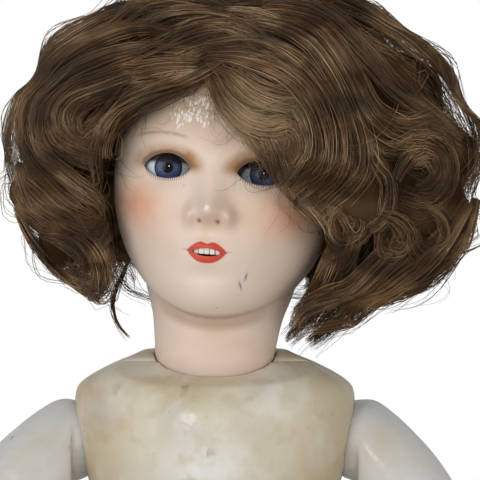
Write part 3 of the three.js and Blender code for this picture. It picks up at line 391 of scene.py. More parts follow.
class Clay:
    """A body while it is being modelled, in millimetres of its own frame."""

    def __init__(self, name: str, bm: bmesh.types.BMesh) -> None:
        """Takes over a bmesh.

        Args:
            name: The piece's name.
            bm: Its shape, which is freed.
        """
        bmesh.ops.remove_doubles(bm, verts=bm.verts, dist=1e-4)
        bmesh.ops.recalc_face_normals(bm, faces=bm.faces)
        self.object = placed(name, mesh_of(name, bm))

    def apply(self) -> "Clay":
        """Makes the result of the modifiers the body's own shape.

        Returns:
            This body.
        """
        shape, old = frozen(self.object), self.object.data
        self.object.modifiers.clear()
        self.object.data = shape
        bpy.data.meshes.remove(old)
        return self

    def _with(self, operation: str, others: Sequence[Form]) -> "Clay":
        """Joins, cuts or keeps what the others share with this body, and uses them up.

        Args:
            operation: The Boolean modifier's operation.
            others: The other bodies or shapes.

        Returns:
            This body.
        """
        tools = [other if isinstance(other, Clay) else Clay("tool", other) for other in others]
        for tool in tools:
            step = self.object.modifiers.new("step", "BOOLEAN")
            step.operation = operation
            step.solver = "EXACT"
            step.object = tool.object
        self.apply()
        for tool in tools:
            bpy.data.meshes.remove(tool.object.data)
        return self

    def join(self, *others: Form) -> "Clay":
        """Joins other bodies to this one."""
        return self._with("UNION", others)

    def cut(self, *others: Form) -> "Clay":
        """Cuts other bodies out of this one."""
        return self._with("DIFFERENCE", others)

    def keep(self, other: Form) -> "Clay":
        """Keeps what lies inside another body."""
        return self._with("INTERSECT", [other])

    def turn(self, matrix: Matrix) -> "Clay":
        """Turns or moves the body."""
        self.object.data.transform(matrix)
        return self

    def warp(self, rule: Callable[[Vector], Vector]) -> "Clay":
        """Moves every corner by a rule."""
        for corner in self.object.data.vertices:
            corner.co = rule(corner.co)
        return self

    def soften(self, voxel: float, rounds: int) -> "Clay":
        """Melts the body into one skin with rounded edges.

        Args:
            voxel: Size of the skin's faces.
            rounds: How often the skin is smoothed.

        Returns:
            The same body.
        """
        skin = self.object.modifiers.new("skin", "REMESH")
        skin.mode = "VOXEL"
        skin.voxel_size = voxel
        calm = self.object.modifiers.new("calm", "SMOOTH")
        calm.factor = 0.5
        calm.iterations = rounds
        return self.apply()

    def blend_where(self, region: Callable[[Vector], bool], rounds: int) -> "Clay":
        """Smooths the skin in one region.

        Args:
            region: Says whether a corner belongs to it.
            rounds: How often it is smoothed.

        Returns:
            The same body.
        """
        bm = bmesh.new()
        bm.from_mesh(self.object.data)
        picked = [v for v in bm.verts if region(v.co)]
        for _ in range(rounds):
            bmesh.ops.smooth_vert(bm, verts=picked, factor=0.5, use_axis_x=True, use_axis_y=True,
                                  use_axis_z=True)
        bm.to_mesh(self.object.data)
        bm.free()
        return self

    def finish(self, carried: Matrix, body: str, slot: str, material: bpy.types.Material,
               stands_for: Sequence[str], crease: float = 180.0) -> None:
        """Puts the piece in its place on the doll.

        Args:
            carried: Its frame, from millimetres to the row's metres.
            body: The CAD body it rides on.
            slot: The record's material slot; not used.
            material: Its finish.
            stands_for: The CAD nodes that it replaces.
            crease: Edges sharper than this stay sharp.
        """
        mesh = self.object.data
        mesh.transform(carried)
        if carried.determinant() < 0:
            mesh.flip_normals()
        mesh.polygons.foreach_set("use_smooth", [True] * len(mesh.polygons))
        if crease < 180:
            mesh.set_sharp_from_angle(angle=math.radians(crease))
        mesh.materials.clear()
        mesh.materials.append(material)
        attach(self.object, body)
        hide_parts(*stands_for)
        log.info("%s rides on %s, %d faces", self.object.name, body, len(mesh.polygons))


def turned(points: Profile, segments: int = 72) -> bmesh.types.BMesh:
    """A solid of revolution about Z.

    Args:
        points: Radius and height, from the bottom to the top.
        segments: Steps round the axis.

    Returns:
        The closed shape.
    """
    bm = bmesh.new()
    closed = [(0.0, points[0][1]), *points, (0.0, points[-1][1])]
    ring = [bm.verts.new((radius, 0, height)) for radius, height in closed]
    edges = [bm.edges.new(pair) for pair in zip(ring, ring[1:])]
    bmesh.ops.spin(bm, geom=ring + edges, cent=(0, 0, 0), axis=(0, 0, 1), angle=2 * math.pi,
                   steps=segments, use_merge=True)
    bmesh.ops.remove_doubles(bm, verts=bm.verts, dist=1e-4)
    bmesh.ops.recalc_face_normals(bm, faces=bm.faces)
    return bm


def ball(radius: float, centre: Sequence[float] = (0, 0, 0), segments: int = 56) -> bmesh.types.BMesh:
    """A ball about a centre.

    Args:
        radius: Its radius.
        centre: Its middle.
        segments: Faces round its waist.

    Returns:
        The shape.
    """
    bm = bmesh.new()
    bmesh.ops.create_uvsphere(bm, u_segments=segments, v_segments=segments * 5 // 8, radius=radius,
                              matrix=Matrix.Translation(centre))
    return bm


def bar(radius: float, start: Sequence[float], end: Sequence[float], sides: int = 24) -> bmesh.types.BMesh:
    """A round bar between two points.

    Args:
        radius: Its radius.
        start: Middle of one end.
        end: Middle of the other end.
        sides: Faces round it.

    Returns:
        The shape.
    """
    start, end = Vector(start), Vector(end)
    along = end - start
    turn = Vector((0, 0, 1)).rotation_difference(along).to_matrix().to_4x4()
    bm = bmesh.new()
    bmesh.ops.create_cone(bm, cap_ends=True, segments=sides, radius1=radius, radius2=radius,
                          depth=along.length, matrix=Matrix.Translation((start + end) / 2) @ turn)
    return bm


def block(low: Sequence[float], high: Sequence[float]) -> bmesh.types.BMesh:
    """A box between two corners.

    Args:
        low: The corner of least x, y and z.
        high: The corner of greatest x, y and z.

    Returns:
        The shape.
    """
    low, high = Vector(low), Vector(high)
    bm = bmesh.new()
    size = Matrix.Diagonal((*(high - low), 1))
    bmesh.ops.create_cube(bm, size=1, matrix=Matrix.Translation((low + high) / 2) @ size)
    return bm


def lens(width: float, up: float, down: float, front: float, back: float) -> bmesh.types.BMesh:
    """A lens-shaped opening pushed along Y.

    Args:
        width: From corner to corner.
        up: Height above the line through the corners.
        down: Depth below it.
        front: Y where it starts.
        back: Y where it ends.

    Returns:
        The closed shape.
    """
    bm = bmesh.new()
    bmesh.ops.create_circle(bm, cap_ends=True, segments=64, radius=1)
    for v in bm.verts:
        side = v.co.x
        reach = max(1 - side * side, 0.0) ** 0.75 * (up if v.co.y > 0 else -down)
        v.co = (side * width / 2, front, reach)
    pushed = bmesh.ops.extrude_face_region(bm, geom=list(bm.faces))
    corners = [g for g in pushed["geom"] if isinstance(g, bmesh.types.BMVert)]
    bmesh.ops.translate(bm, verts=corners, vec=(0, back - front, 0))
    bmesh.ops.recalc_face_normals(bm, faces=bm.faces)
    return bm


def bevelled(bm: bmesh.types.BMesh, edges: Sequence[bmesh.types.BMEdge], offset: float,
             segments: int) -> bmesh.types.BMesh:
    """Rounds some edges of a shape."""
    bmesh.ops.bevel(bm, geom=edges, offset=offset, affect="EDGES", segments=segments, profile=0.5,
                    material=-1)
    return bm


def gathered(shapes: Sequence[bmesh.types.BMesh]) -> bmesh.types.BMesh:
    """Puts several shapes into one bmesh, and frees them.

    Args:
        shapes: The shapes.

    Returns:
        One shape that holds them all.
    """
    whole = bmesh.new()
    for bm in shapes:
        mesh = mesh_of("part", bm)
        whole.from_mesh(mesh)
        bpy.data.meshes.remove(mesh)
    return whole


class Side(Enum):
    """The doll's left and right."""

    LEFT = 1
    RIGHT = -1

    @property
    def word(self) -> str:
        """The name's first word."""
        return self.name.lower()

    @property
    def mirror(self) -> Matrix:
        """Mirrors a left piece for this side."""
        return Matrix.Diagonal((self.value, 1, 1, 1))


class FaceCoat(Paint):
    """The head's paint, with the places that the features are measured from."""

    def __init__(self, base: Colour, head: "Head") -> None:
        """Starts the paint on a head.

        Args:
            base: Colour of the first coat.
            head: The head.
        """
        super().__init__("face_paint", base, head.carried)
        self.head = head
        self.side = self.x.size()
        self.v = self.z - head.eye_line
        self.front = self.y.ramp(-14, -26)


@dataclass(frozen=True)
class FacePaint:
    """Flesh-coloured oil paint under old varnish, with the painted features, and painted light and shade on
    the face.
    """

    flesh: Colour = (226, 203, 184)
    flesh_pale: Colour = (230, 208, 190)
    flesh_dark: Colour = (212, 176, 146)
    forehead: Colour = (188, 160, 130)
    jaw_shadow: Colour = (152, 116, 82)
    neck: Colour = (206, 196, 190)
    chin: Colour = (242, 224, 208)
    cheek_pale: Colour = (250, 230, 210)
    blush: Colour = (224, 150, 108)
    lip: Colour = (206, 66, 36)
    lip_dark: Colour = (176, 46, 30)
    lid: Colour = (166, 114, 60)
    lid_edge: Colour = (92, 58, 32)
    lash: Colour = (52, 56, 82)
    brow: Colour = (120, 82, 54)
    ink: Colour = (62, 76, 132)
    mouth_dark: Colour = (70, 26, 20)
    mouth_corner: Colour = (150, 98, 80)
    nostril: Colour = (150, 58, 46)
    flake: Colour = (248, 242, 234)
    speck: Colour = (120, 84, 62)
    nose_light: Colour = (255, 250, 244)
    ink_streaks: tuple[tuple[float, float, float], ...] = ((16.4, -43.4, 0.25), (14.2, -47.2, -0.2))

    def material(self, head: "Head") -> bpy.types.Material:
        """Mixes the paint.

        Args:
            head: The head whose sizes place the features.

        Returns:
            The material.
        """
        p = FaceCoat(self.flesh, head)
        self.lay_skin(p)
        self.lay_eyes(p)
        self.lay_mouth(p)
        self.lay_wear(p)
        return p.done()

    def lay_skin(self, p: FaceCoat) -> None:
        """Paints the flesh in its tones and the blush, a forehead darkened partly by varnish and partly as
        painted shade, painted shade under the jaw, and painted light on the chin and the lower outer cheeks.

        Args:
            p: The head's paint.
        """
        u, side, v, front = p.x, p.side, p.v, p.front
        p.lay(self.flesh_pale, p.noise(34, 2).ramp(0.42, 0.72) * 0.5)
        p.lay(self.flesh_dark, p.noise(22, 3, 40).ramp(0.5, 0.78) * 0.5)
        # The forehead darker: yellowed varnish, and painted shade from the hair over it.
        p.lay(self.forehead, v.ramp(4, 30) * 0.8)
        jaw = v + 61.0 - u * u * 0.0107
        p.lay(self.jaw_shadow, jaw.ramp(1.0, -1.5) * jaw.ramp(-9, -4) * front * 0.8)
        p.lay(self.neck, v.ramp(-80, -94) * 0.6)
        # Painted light: the chin paler where the light falls on it.
        p.lay(self.chin, v.bell(-51, 13) * u.bell(0, 26) * front * 0.75)
        # Painted light: the lower outer cheeks paler.
        p.lay(self.cheek_pale, side.ramp(22, 42) * v.ramp(2, -8) * front * 0.85)
        cheek = side.bell(32.5, 12.5) * v.bell(-16.5, 9.5) * front
        p.lay(self.blush, cheek * (p.noise(7, 4, 9).ramp(0.1, 0.75) * 0.3 + 0.5))

    def lay_eyes(self, p: FaceCoat) -> None:
        """Paints the lids, brows and lower lashes.

        Args:
            p: The head's paint.
        """
        head, side, v, front = p.head, p.side, p.v, p.front
        across = (side - head.eye_spacing / 2) / (head.eye_width / 2)
        around = across * across + (v / 6.6) * (v / 6.6)
        inner = side.ramp(16, 10) * 0.5
        worn = p.noise(5, 2, 3).ramp(0.2, 0.8) * 0.35 + inner + 0.45
        p.lay(self.lid, around.ramp(3.2, 1.0) * v.ramp(-3.5, 2) * front * worn)
        p.lay(self.lid_edge, around.ramp(1.5, 1.02) * v.ramp(-1, 2) * front * 0.75)
        arch = 14.6 - (side - 23) * (side - 23) * 0.013
        hair_marks = p.noise(1.1, 2, 5, (0.5, 1, 2.5)).ramp(0.15, 0.55)
        brow = (v - arch).bell(0, 0.75) * side.ramp(10, 15) * side.ramp(37, 32)
        p.lay(self.brow, brow * hair_marks * front * 0.5)
        rim = v + (1.0 - across * across).most(0.0).power(0.75) * head.eye_down
        strokes = side.wave(0.95).ramp(0.1, 0.6)
        lashes = strokes * rim.ramp(-2.0, -0.4) * rim.ramp(0.8, 0.1) * across.size().ramp(0.98, 0.8)
        p.lay(self.lash, lashes * front * 0.8)
        p.lay(self.lash, rim.bell(0, 0.35) * across.size().ramp(1.0, 0.9) * front * 0.55)

    def lay_mouth(self, p: FaceCoat) -> None:
        """Paints the lips and the darker line where they meet, painted shade inside the mouth and in the
        creases at its corners, and the nostrils.

        Args:
            p: The head's paint.
        """
        head, side, v, front = p.head, p.side, p.v, p.front
        m = v + head.mouth_drop
        upper = 4.7 - (side / 8.4).power(2.4) * 4.3 - p.x.bell(0, 1.9) * 1.1
        lower = 4.6 - (side / 8.0).power(2.6) * 4.4
        p.lay(self.lip, (upper - m).ramp(-0.35, 0.35) * m.ramp(-0.4, 0.2) * front)
        p.lay(self.lip, (lower + m).ramp(-0.35, 0.35) * m.ramp(0.4, -0.2) * front)
        p.lay(self.lip_dark, m.bell(0, 1.5) * side.ramp(8.4, 7.0) * front * 0.6)
        # Painted shade in the hollow of the mouth, behind the lips and behind the teeth.
        deep = p.y.ramp(head.mouth_front + 2.0, head.mouth_front + 3.2)
        p.lay(self.mouth_dark, side.ramp(6.6, 5.8) * m.size().ramp(2.6, 2.0) * deep)
        behind = p.y.ramp(head.mouth_front + 5, head.mouth_front + 6)
        p.lay(self.mouth_dark, side.ramp(9, 8) * m.size().ramp(7, 6) * behind)
        # Painted shade in the crease at each corner of the mouth.
        corner = (m - 0.6).bell(0, 0.32) * side.ramp(11.5, 9) * side.ramp(7.4, 8.2)
        p.lay(self.mouth_corner, corner * front * 0.5)
        p.lay(self.nostril, side.bell(3.9, 0.95) * v.bell(-21.2, 0.95) * front * 0.9)

    def lay_wear(self, p: FaceCoat) -> None:
        """Adds ink, flaked paint that is partly a painted highlight, specks and a painted highlight on the
        nose tip, and sets the shine and the surface.

        Args:
            p: The head's paint.
        """
        u, v, front = p.x, p.v, p.front
        for across, height, lean in self.ink_streaks:
            streak = (u - across - (v - height) * lean).bell(0, 0.42) * (v - height).bell(0, 1.7)
            p.lay(self.ink, streak * front * 0.85)
        # Flaked varnish on the forehead, laid on near-white: partly real flaking, partly a painted highlight
        # on it.
        chips = p.noise(1.5, 3, 21, (1.3, 1, 0.6)).ramp(0.46, 0.6) * p.noise(7, 2, 2).ramp(0.36, 0.56)
        flakes_and_highlight = u.bell(-11, 9.5) * v.bell(24, 8.5) * chips * front
        p.lay(self.flake, flakes_and_highlight.ramp(0.1, 0.5) * 0.75)
        specks = p.cells(9, 4).ramp(0.05, 0.035)
        p.lay(self.speck, specks * p.noise(16, 1, 8).ramp(0.56, 0.64) * 0.6)
        # Painted highlight: a near-white spot on the tip of the nose, where the varnish is also glossiest.
        tip = u.bell(-0.3, 1.1) * v.bell(-15.4, 1.1)
        p.lay(self.nose_light, tip.ramp(0.3, 0.75) * 0.9)
        p.gloss(p.noise(18, 3, 15).ramp(0.2, 0.8) * 0.14 + 0.38, tip + flakes_and_highlight * 0.5 + 0.04, 0.24)
        crackle = p.cells(5.5, 6, edges=True).ramp(0.0, 0.03)
        p.bump(p.noise(1.6, 3, 30) * 0.35 + p.noise(9, 2, 12) + crackle * 0.06 + flakes_and_highlight * 0.8, 0.22, 0.5)


@dataclass(frozen=True)
class BodyVarnish:
    """Ivory paint under yellowed, stained and worn varnish; on the torso also painted shade towards the sides
    and a painted highlight low on the front.
    """

    name: str
    ground: Colour = (204, 195, 170)
    pale: Colour = (222, 217, 204)
    stain: Colour = (176, 150, 104)
    dirt: Colour = (122, 98, 70)
    bloom: Colour = (200, 202, 208)
    # Worn bare paint, in the colour of the painted highlight.
    bare: Colour = (238, 237, 233)
    yellowing: float = 0.75
    rubbed: float = 0.0

    def material(self, carried: Optional[Matrix] = None) -> bpy.types.Material:
        """Mixes the finish.

        Args:
            carried: The frame that the pattern is laid out in.

        Returns:
            The material.
        """
        p = Paint(self.name, self.ground, carried)
        p.lay(self.pale, p.noise(26, 4, 3).ramp(0.46, 0.66) * 0.8)
        p.lay(self.stain, p.noise(40, 5, 11, twist=0.6).ramp(0.48, 0.74) * self.yellowing)
        p.lay(self.stain, p.noise(9, 4, 23).ramp(0.56, 0.7) * 0.35 * self.yellowing)
        p.lay(self.bloom, p.noise(30, 3, 37).ramp(0.55, 0.72) * 0.4)
        # Darker and yellower towards the sides: yellowed varnish, and painted shade where the torso turns from
        # the light.
        p.lay(self.stain, p.x.size().ramp(22, 58) * self.rubbed * 0.4)
        # Painted highlight: a near-white area low on the front, where the varnish is also worn and glossier.
        worn_patch_highlight = p.x.bell(-4, 20) * p.z.bell(114, 13) * p.noise(8, 4, 44).ramp(0.26, 0.62) * self.rubbed
        p.lay(self.bare, worn_patch_highlight * 0.9)
        scuffs = p.noise(7, 4, 51, (1.0, 1.0, 0.4)).ramp(0.64, 0.69)
        p.lay(self.dirt, scuffs * p.noise(30, 2, 13).ramp(0.5, 0.62) * 0.55)
        specks = p.cells(7.5, 5).ramp(0.075, 0.05)
        p.lay(self.dirt, specks * p.noise(14, 1, 19).ramp(0.5, 0.6) * 0.75)
        p.gloss(p.noise(14, 3, 61).ramp(0.25, 0.75) * 0.2 + 0.32, worn_patch_highlight + 0.3, 0.2)
        p.bump(p.noise(11, 3, 71) + p.noise(1.8, 3, 5) * 0.22, 0.5, 0.55)
        return p.done()


@dataclass(frozen=True)
class HairTone:
    """One of the tones that the wig's hair is mixed from."""

    index: int
    shade: Colour
    # The colour of the painted highlights.
    light: Colour
    shine: float = 0.6
    # The colour of the painted shade.
    deep: Colour = (46, 29, 16)
    golden: Colour = (204, 174, 134)
    gleam: Colour = (255, 236, 212)

    def material(self, head: "Head", waves: float) -> bpy.types.Material:
        """Mixes the tone, with painted highlights in streaks and on the crests of the waves, painted shade in
        patches and in the troughs, and paler over one brow.

        Args:
            head: The head that wears the wig.
            waves: How many waves there are from the crown to the neck.

        Returns:
            The material.
        """
        p = Paint(f"hair_{self.index}", self.shade, head.carried)
        up, back = p.z - head.eye_line, p.y + head.forward
        reach = (p.x * p.x + back * back + up * up).power(0.5)
        fall = (up / reach).angle() + (p.noise(60, 1, 5) - 0.5) * 0.4 + math.pi / waves / 4
        crest = fall.wave(math.pi / waves)
        # Painted highlights, in streaks and on the crests of the waves.
        p.lay(self.light, p.noise(19, 2, 7).ramp(0.44, 0.62) * 0.8)
        p.lay(self.light, crest.ramp(0.35, 1.0) * 0.6)
        # Painted shade, in patches and in the troughs of the waves.
        p.lay(self.deep, p.noise(16, 2, 31).ramp(0.52, 0.68) * 0.7)
        p.lay(self.deep, crest.ramp(-0.2, -1.0) * 0.6)
        p.lay(self.golden, p.x.bell(15, 15) * up.bell(24, 13) * p.y.ramp(-30, -44) * 0.7)
        p.gloss(0.9 - 0.87 * self.shine)
        p.feed("Specular IOR Level", self.shine)
        p.feed("Specular Tint", linear(self.gleam))
        return p.done()


@dataclass(frozen=True)
class EyeGlass:
    """Blown glass with a threaded blue iris, painted shade of the lid and lashes over its top, and a painted
    lid on the upper part of the ball.
    """

    iris: Colour = (58, 72, 104)
    thread: Colour = (110, 126, 156)
    rim: Colour = (24, 28, 46)
    pupil: Colour = (8, 8, 12)
    white: Colour = (214, 222, 226)
    white_edge: Colour = (178, 186, 196)
    shade: Colour = (40, 31, 26)
    lid: Colour = (206, 160, 130)

    def material(self, name: str, carried: Matrix, radius: float) -> bpy.types.Material:
        """Mixes the glass of one eye.

        Args:
            name: The material's name.
            carried: The eye's frame, looking along -Y.
            radius: The ball's radius.

        Returns:
            The material.
        """
        p = Paint(name, self.white, carried)
        off = (p.x * p.x + p.z * p.z).power(0.5)
        ahead = p.y.ramp(0, -2)
        angle = p.z.heading(p.x)
        threads = angle.wave(0.17) * 0.5 + angle.wave(0.113) * 0.3 + p.noise(0.8, 2, 3) - 0.4
        p.lay(self.white_edge, off.ramp(8, 10.5) * 0.6)
        disc = off.ramp(6.1, 5.75) * ahead
        p.lay(self.iris, disc)
        p.lay(self.thread, disc * threads.ramp(0.15, 0.9) * off.ramp(1.9, 3.2) * 0.75)
        p.lay(self.rim, disc * off.ramp(4.9, 5.8) * 0.9)
        p.lay(self.pupil, off.ramp(2.5, 2.1) * ahead)
        high = p.z / radius
        # Painted shade of the upper lid and lashes over the top of the eye.
        p.lay(self.shade, high.ramp(0.07, 0.25) * 0.93)
        p.lay(self.lid, high.ramp(0.5, 0.54))
        p.gloss(0.3, coat=0.45, coat_roughness=0.03)
        p.feed("Specular IOR Level", 0.0)
        p.bump(p.noise(3, 1) + threads * disc * 0.05, 0.04, 0.2, on_coat=False)
        return p.done()


@dataclass(frozen=True)
class PlainFinish:
    """A finish of the small inner pieces, mottled and worn."""

    name: str
    ground: Colour
    mottle: Colour
    roughness: float
    metal: float = 0.0
    grain: tuple[float, float, float] = EVEN
    grain_size: float = 3.0
    coat: float = 0.0
    weave: float = 0.0

    def material(self) -> bpy.types.Material:
        """Mixes the finish.

        Returns:
            The material.
        """
        p = Paint(self.name, self.ground)
        grain = p.noise(self.grain_size, 4, 2, self.grain, 0.5)
        p.lay(self.mottle, grain.ramp(0.38, 0.68) * 0.8)
        p.lay(self.mottle, p.noise(12, 3, 9).ramp(0.5, 0.7) * 0.4)
        height = grain
        if self.weave:
            crossed = (p.x + p.z).wave(self.weave) * (p.y - p.z).wave(self.weave)
            p.lay(self.mottle, crossed.ramp(0.1, 0.9) * 0.6)
            height = grain * 0.3 + crossed
        p.gloss(p.noise(6, 2, 4) * 0.2 + (self.roughness - 0.1), coat=self.coat, metal=self.metal)
        p.bump(height, 0.15, 0.5)
        return p.done()


@dataclass
class Head:
    """The painted socket head with its neck, and the teeth behind its lips."""

    half_width: float = 48.5
    half_height: float = 61.5
    front_depth: float = 50.0
    back_depth: float = 53.0
    squareness: float = 2.2
    chin_drop: float = 5.0
    wall: float = 3.6
    eye_line: float = 76.0
    forward: float = 6.0
    crown_height: float = 33.0
    crown_lean: float = -10.0
    ball_radius: float = 26.3
    neck_radius: float = 32.5
    neck_height: float = 27.0
    neck_wall: float = 4.0
    hook_hole: float = 9.0
    eye_spacing: float = 40.6
    eye_radius: float = 12.2
    eye_width: float = 21.0
    eye_up: float = 6.1
    eye_down: float = 4.5
    gap: float = 0.35
    mouth_drop: float = 34.2
    mouth_width: float = 12.2
    mouth_height: float = 3.4
    tooth_count: int = 5
    tooth_width: float = 2.3
    tooth_gap: float = 0.12
    teeth_set_back: float = 0.9
    tooth_row_bend: float = 0.04

    def __post_init__(self) -> None:
        """Takes the head's frame from its joints."""
        pivot, upright = hinge("head_turn")
        eyes, across = hinge("eyes_close")
        self.carried = carrier(pivot, across, upright)
        self.skull = Vector((0, -self.forward, self.eye_line))
        self.eye_depth = (self.carried.inverted() @ eyes).y
        self.mouth_front = self.front_at(0, -self.mouth_drop)

    def nose_ridge(self, v: float) -> float:
        """Height of the nose's ridge at a height v above the eye line.

        Args:
            v: Above the eye line.

        Returns:
            The height in millimetres.
        """
        if v > 5:
            return 1.2 * bell((v - 5) / 7)
        if v < -16.5:
            return 7.4 * bell((v + 16.5) / 5)
        return 1.2 + 6.2 * ((5 - v) / 21.5) ** 1.3

    def relief(self, x: float, v: float) -> float:
        """How far the face stands forward of the plain skull.

        Args:
            x: Across the face.
            v: Above the eye line.

        Returns:
            The height in millimetres.
        """
        side, mouth = abs(x), v + self.mouth_drop
        nose = self.nose_ridge(v) * bell(x / 6.4) + 3.6 * bell(x / 6) * bell((v + 17) / 5)
        wings = 4.2 * bell((side - 8.4) / 2.5) * bell((v + 19.4) / 4.0)
        jaw = 9 * bell(x / 30) * bell((v + 47) / 17)
        chin = 2.6 * bell(x / 10) * bell((v + 53) / 7.5)
        under_lip = -1.3 * bell(x / 8) * bell((mouth + 8.6) / 2.6)
        muzzle = 2.6 * bell(x / 16) * bell(mouth / 10)
        lips = 1.3 * bell(x / 6.6) * (bell((mouth - 2.6) / 2.2) + bell((mouth + 3) / 2.4))
        philtrum = -0.5 * bell(x / 1.6) * bell((mouth - 7.5) / 3.2)
        cheeks = 2.2 * bell((side - 27) / 13) * bell((v + 20) / 12)
        sockets = -2.8 * bell((side - self.eye_spacing / 2) / 12) * bell(v / 8)
        return nose + wings + jaw + chin + under_lip + muzzle + lips + philtrum + cheeks + sockets

    def on_skull(self, way: Vector) -> Vector:
        """The point of the head in a direction from the skull's middle, in the head's frame.

        Args:
            way: The direction.

        Returns:
            The point.
        """
        depth = self.front_depth if way.y < 0 else self.back_depth
        halves = (self.half_width, depth, self.half_height)
        total = sum(abs(part / half) ** self.squareness for part, half in zip(way, halves))
        point = way * total ** (-1 / self.squareness)
        frontness = smoothstep(-point.y, -2, 26)
        point.y -= frontness * self.relief(point.x, point.z)
        point.z -= self.chin_drop * frontness * bell(point.x / 30) * smoothstep(-point.z, 34, 58)
        return point + self.skull

    def front_at(self, x: float, v: float) -> float:
        """Y of the face at x and at v above the eye line.

        Args:
            x: Across the face.
            v: Above the eye line.

        Returns:
            Its y in the head's frame.
        """
        y = -self.front_depth
        for _ in range(12):
            y = (self.on_skull(Vector((x, y, v)).normalized()) - self.skull).y
        return y + self.skull.y

    def eye_centre(self, side: Side) -> Vector:
        """Middle of an eyeball in the head's frame."""
        return Vector((side.value * self.eye_spacing / 2, self.eye_depth, self.eye_line))

    def skull_form(self) -> Clay:
        """The head as a ball whose rings are closest on the face.

        Returns:
            The clay, in its own frame.
        """
        bm = bmesh.new()
        bmesh.ops.create_uvsphere(bm, u_segments=220, v_segments=150, radius=1, matrix=tilt(90))

        def shaped(way: Vector) -> Vector:
            """Draws the rings towards the face, then puts the corner on the head."""
            share = math.acos(min(max(-way.y, -1), 1)) / math.pi
            angle = math.pi * (0.62 * share + 0.38 * share * share)
            flat = math.hypot(way.x, way.z) or 1.0
            ring = math.sin(angle) / flat
            return self.on_skull(Vector((way.x * ring, -math.cos(angle), way.z * ring)))

        return Clay("head", bm).warp(shaped)

    def neck_form(self) -> Clay:
        """The neck, with the ball it turns on.

        Returns:
            The clay, in its own frame.
        """
        bottom = [(self.ball_radius * math.sin(a), -self.ball_radius * math.cos(a))
                  for a in (math.pi / 2 * i / 16 for i in range(1, 16))]
        flare = (self.ball_radius + self.neck_radius) / 2 - 1
        top = through([(self.ball_radius, 0), (flare, self.neck_height / 2),
                       (self.neck_radius, self.neck_height), (self.neck_radius, self.neck_height * 1.4)], 24)
        return Clay("neck", turned(bottom + top, 96))

    def cavities(self) -> list[Form]:
        """What is cut out of the head: crown, skull, throat, eyes and mouth.

        Returns:
            Bodies and shapes to cut away.
        """
        inner = Matrix.Diagonal((self.half_width - self.wall, self.back_depth - self.wall - 1,
                                 self.half_height - self.wall, 1))
        hollow = Clay("hollow", ball(1)).turn(Matrix.Translation(self.skull) @ inner)
        bore = self.ball_radius - self.neck_wall
        throat = [(bore * 0.55, -bore * 0.83), (bore, -2), (bore, self.neck_height / 2),
                  (self.neck_radius - self.neck_wall, self.neck_height + 6)]
        crown = Clay("crown", block((-FAR, -FAR, 0), (FAR, FAR, FAR)))
        crown.turn(Matrix.Translation(self.skull + Vector((0, 0, self.crown_height))) @ tilt(self.crown_lean))
        made = [hollow, turned(throat), crown]
        made.append(bar(self.hook_hole, (0, 0, -self.ball_radius * 1.2), (0, 0, 0)))
        for side in Side:
            centre = self.eye_centre(side)
            made.append(ball(self.eye_radius + self.gap, centre, 72))
            opening = lens(self.eye_width, self.eye_up, self.eye_down, -FAR, self.eye_depth)
            made.append(Clay("opening", opening).turn(Matrix.Translation((centre.x, 0, centre.z))))
        at = self.eye_line - self.mouth_drop
        half = self.tooth_count * self.tooth_width / 2 + 1
        slit = lens(self.mouth_width, self.mouth_height / 2, self.mouth_height / 2, -FAR, -20)
        made.append(Clay("slit", slit).turn(Matrix.Translation((0, 0, at))))
        low = (-half, self.mouth_front + 2.9, at - 3.4)
        high = (half, self.mouth_front + 20, at + 5.2)
        made.append(block(low, high))
        return made

    def build(self) -> None:
        """Builds and dresses the shell and the teeth."""
        shell = self.skull_form().join(self.neck_form())

        def under_jaw(p: Vector) -> bool:
            """Whether a corner lies in the fold between jaw and neck."""
            return 8 < p.z < 48 and 22 < math.hypot(p.x, p.y) < 47 and p.y > -46

        shell.blend_where(under_jaw, 4)
        shell.cut(*self.cavities())
        shell.object.name = "painted_head"
        shell.finish(self.carried, "head", "face", FacePaint().material(self), ["head_shell"], 50)
        self.build_teeth()

    def build_teeth(self) -> None:
        """A row of small rounded teeth on a strip of gum."""
        at = self.eye_line - self.mouth_drop
        front = self.mouth_front + self.teeth_set_back
        shapes = []
        for i in range(self.tooth_count):
            x = (i - (self.tooth_count - 1) / 2) * self.tooth_width
            back = front + self.tooth_row_bend * x * x
            half = (self.tooth_width - self.tooth_gap) / 2
            tooth = block((x - half, back, at - 0.95), (x + half, back + 1.8, at + 3.0))
            shapes.append(bevelled(tooth, tooth.edges[:], 0.5, 4))
        span = self.tooth_count * self.tooth_width / 2
        gum = block((-span, front + 0.5, at + 2.2), (span, front + 3.4, at + 4.4))
        shapes.append(bevelled(gum, gum.edges[:], 0.6, 4))
        enamel = PlainFinish("tooth_enamel", (246, 244, 240), (236, 230, 220), 0.25, coat=0.5)
        row = Clay("row_of_teeth", gathered(shapes))
        row.finish(self.carried, "head", "teeth", enamel.material(), ["upper_teeth"], 40)


@dataclass
class SleepEyes:
    """The two glass eyes that roll shut together."""

    head: Head
    bulge: float = 0.5
    dome_radius: float = 6.2

    def build(self) -> None:
        """Builds both eyeballs, with the clear dome over the iris."""
        for side in Side:
            bm = ball(self.head.eye_radius - 0.05, segments=80)
            bmesh.ops.rotate(bm, verts=bm.verts, matrix=Matrix.Rotation(math.radians(90), 3, "X"))
            eye = Clay(f"{side.word}_glass_eye", bm)

            def domed(p: Vector) -> Vector:
                """Raises the dome."""
                rise = self.bulge * bell(math.hypot(p.x, p.z) / self.dome_radius) if p.y < 0 else 0.0
                return p - Vector((0, rise, 0))

            eye.warp(domed)
            carried = self.head.carried @ Matrix.Translation(self.head.eye_centre(side))
            glass = EyeGlass().material(f"{side.word}_eye_glass", carried, self.head.eye_radius)
            eye.finish(carried, "eyes", "glass", glass, [f"{side.word}_eye"])


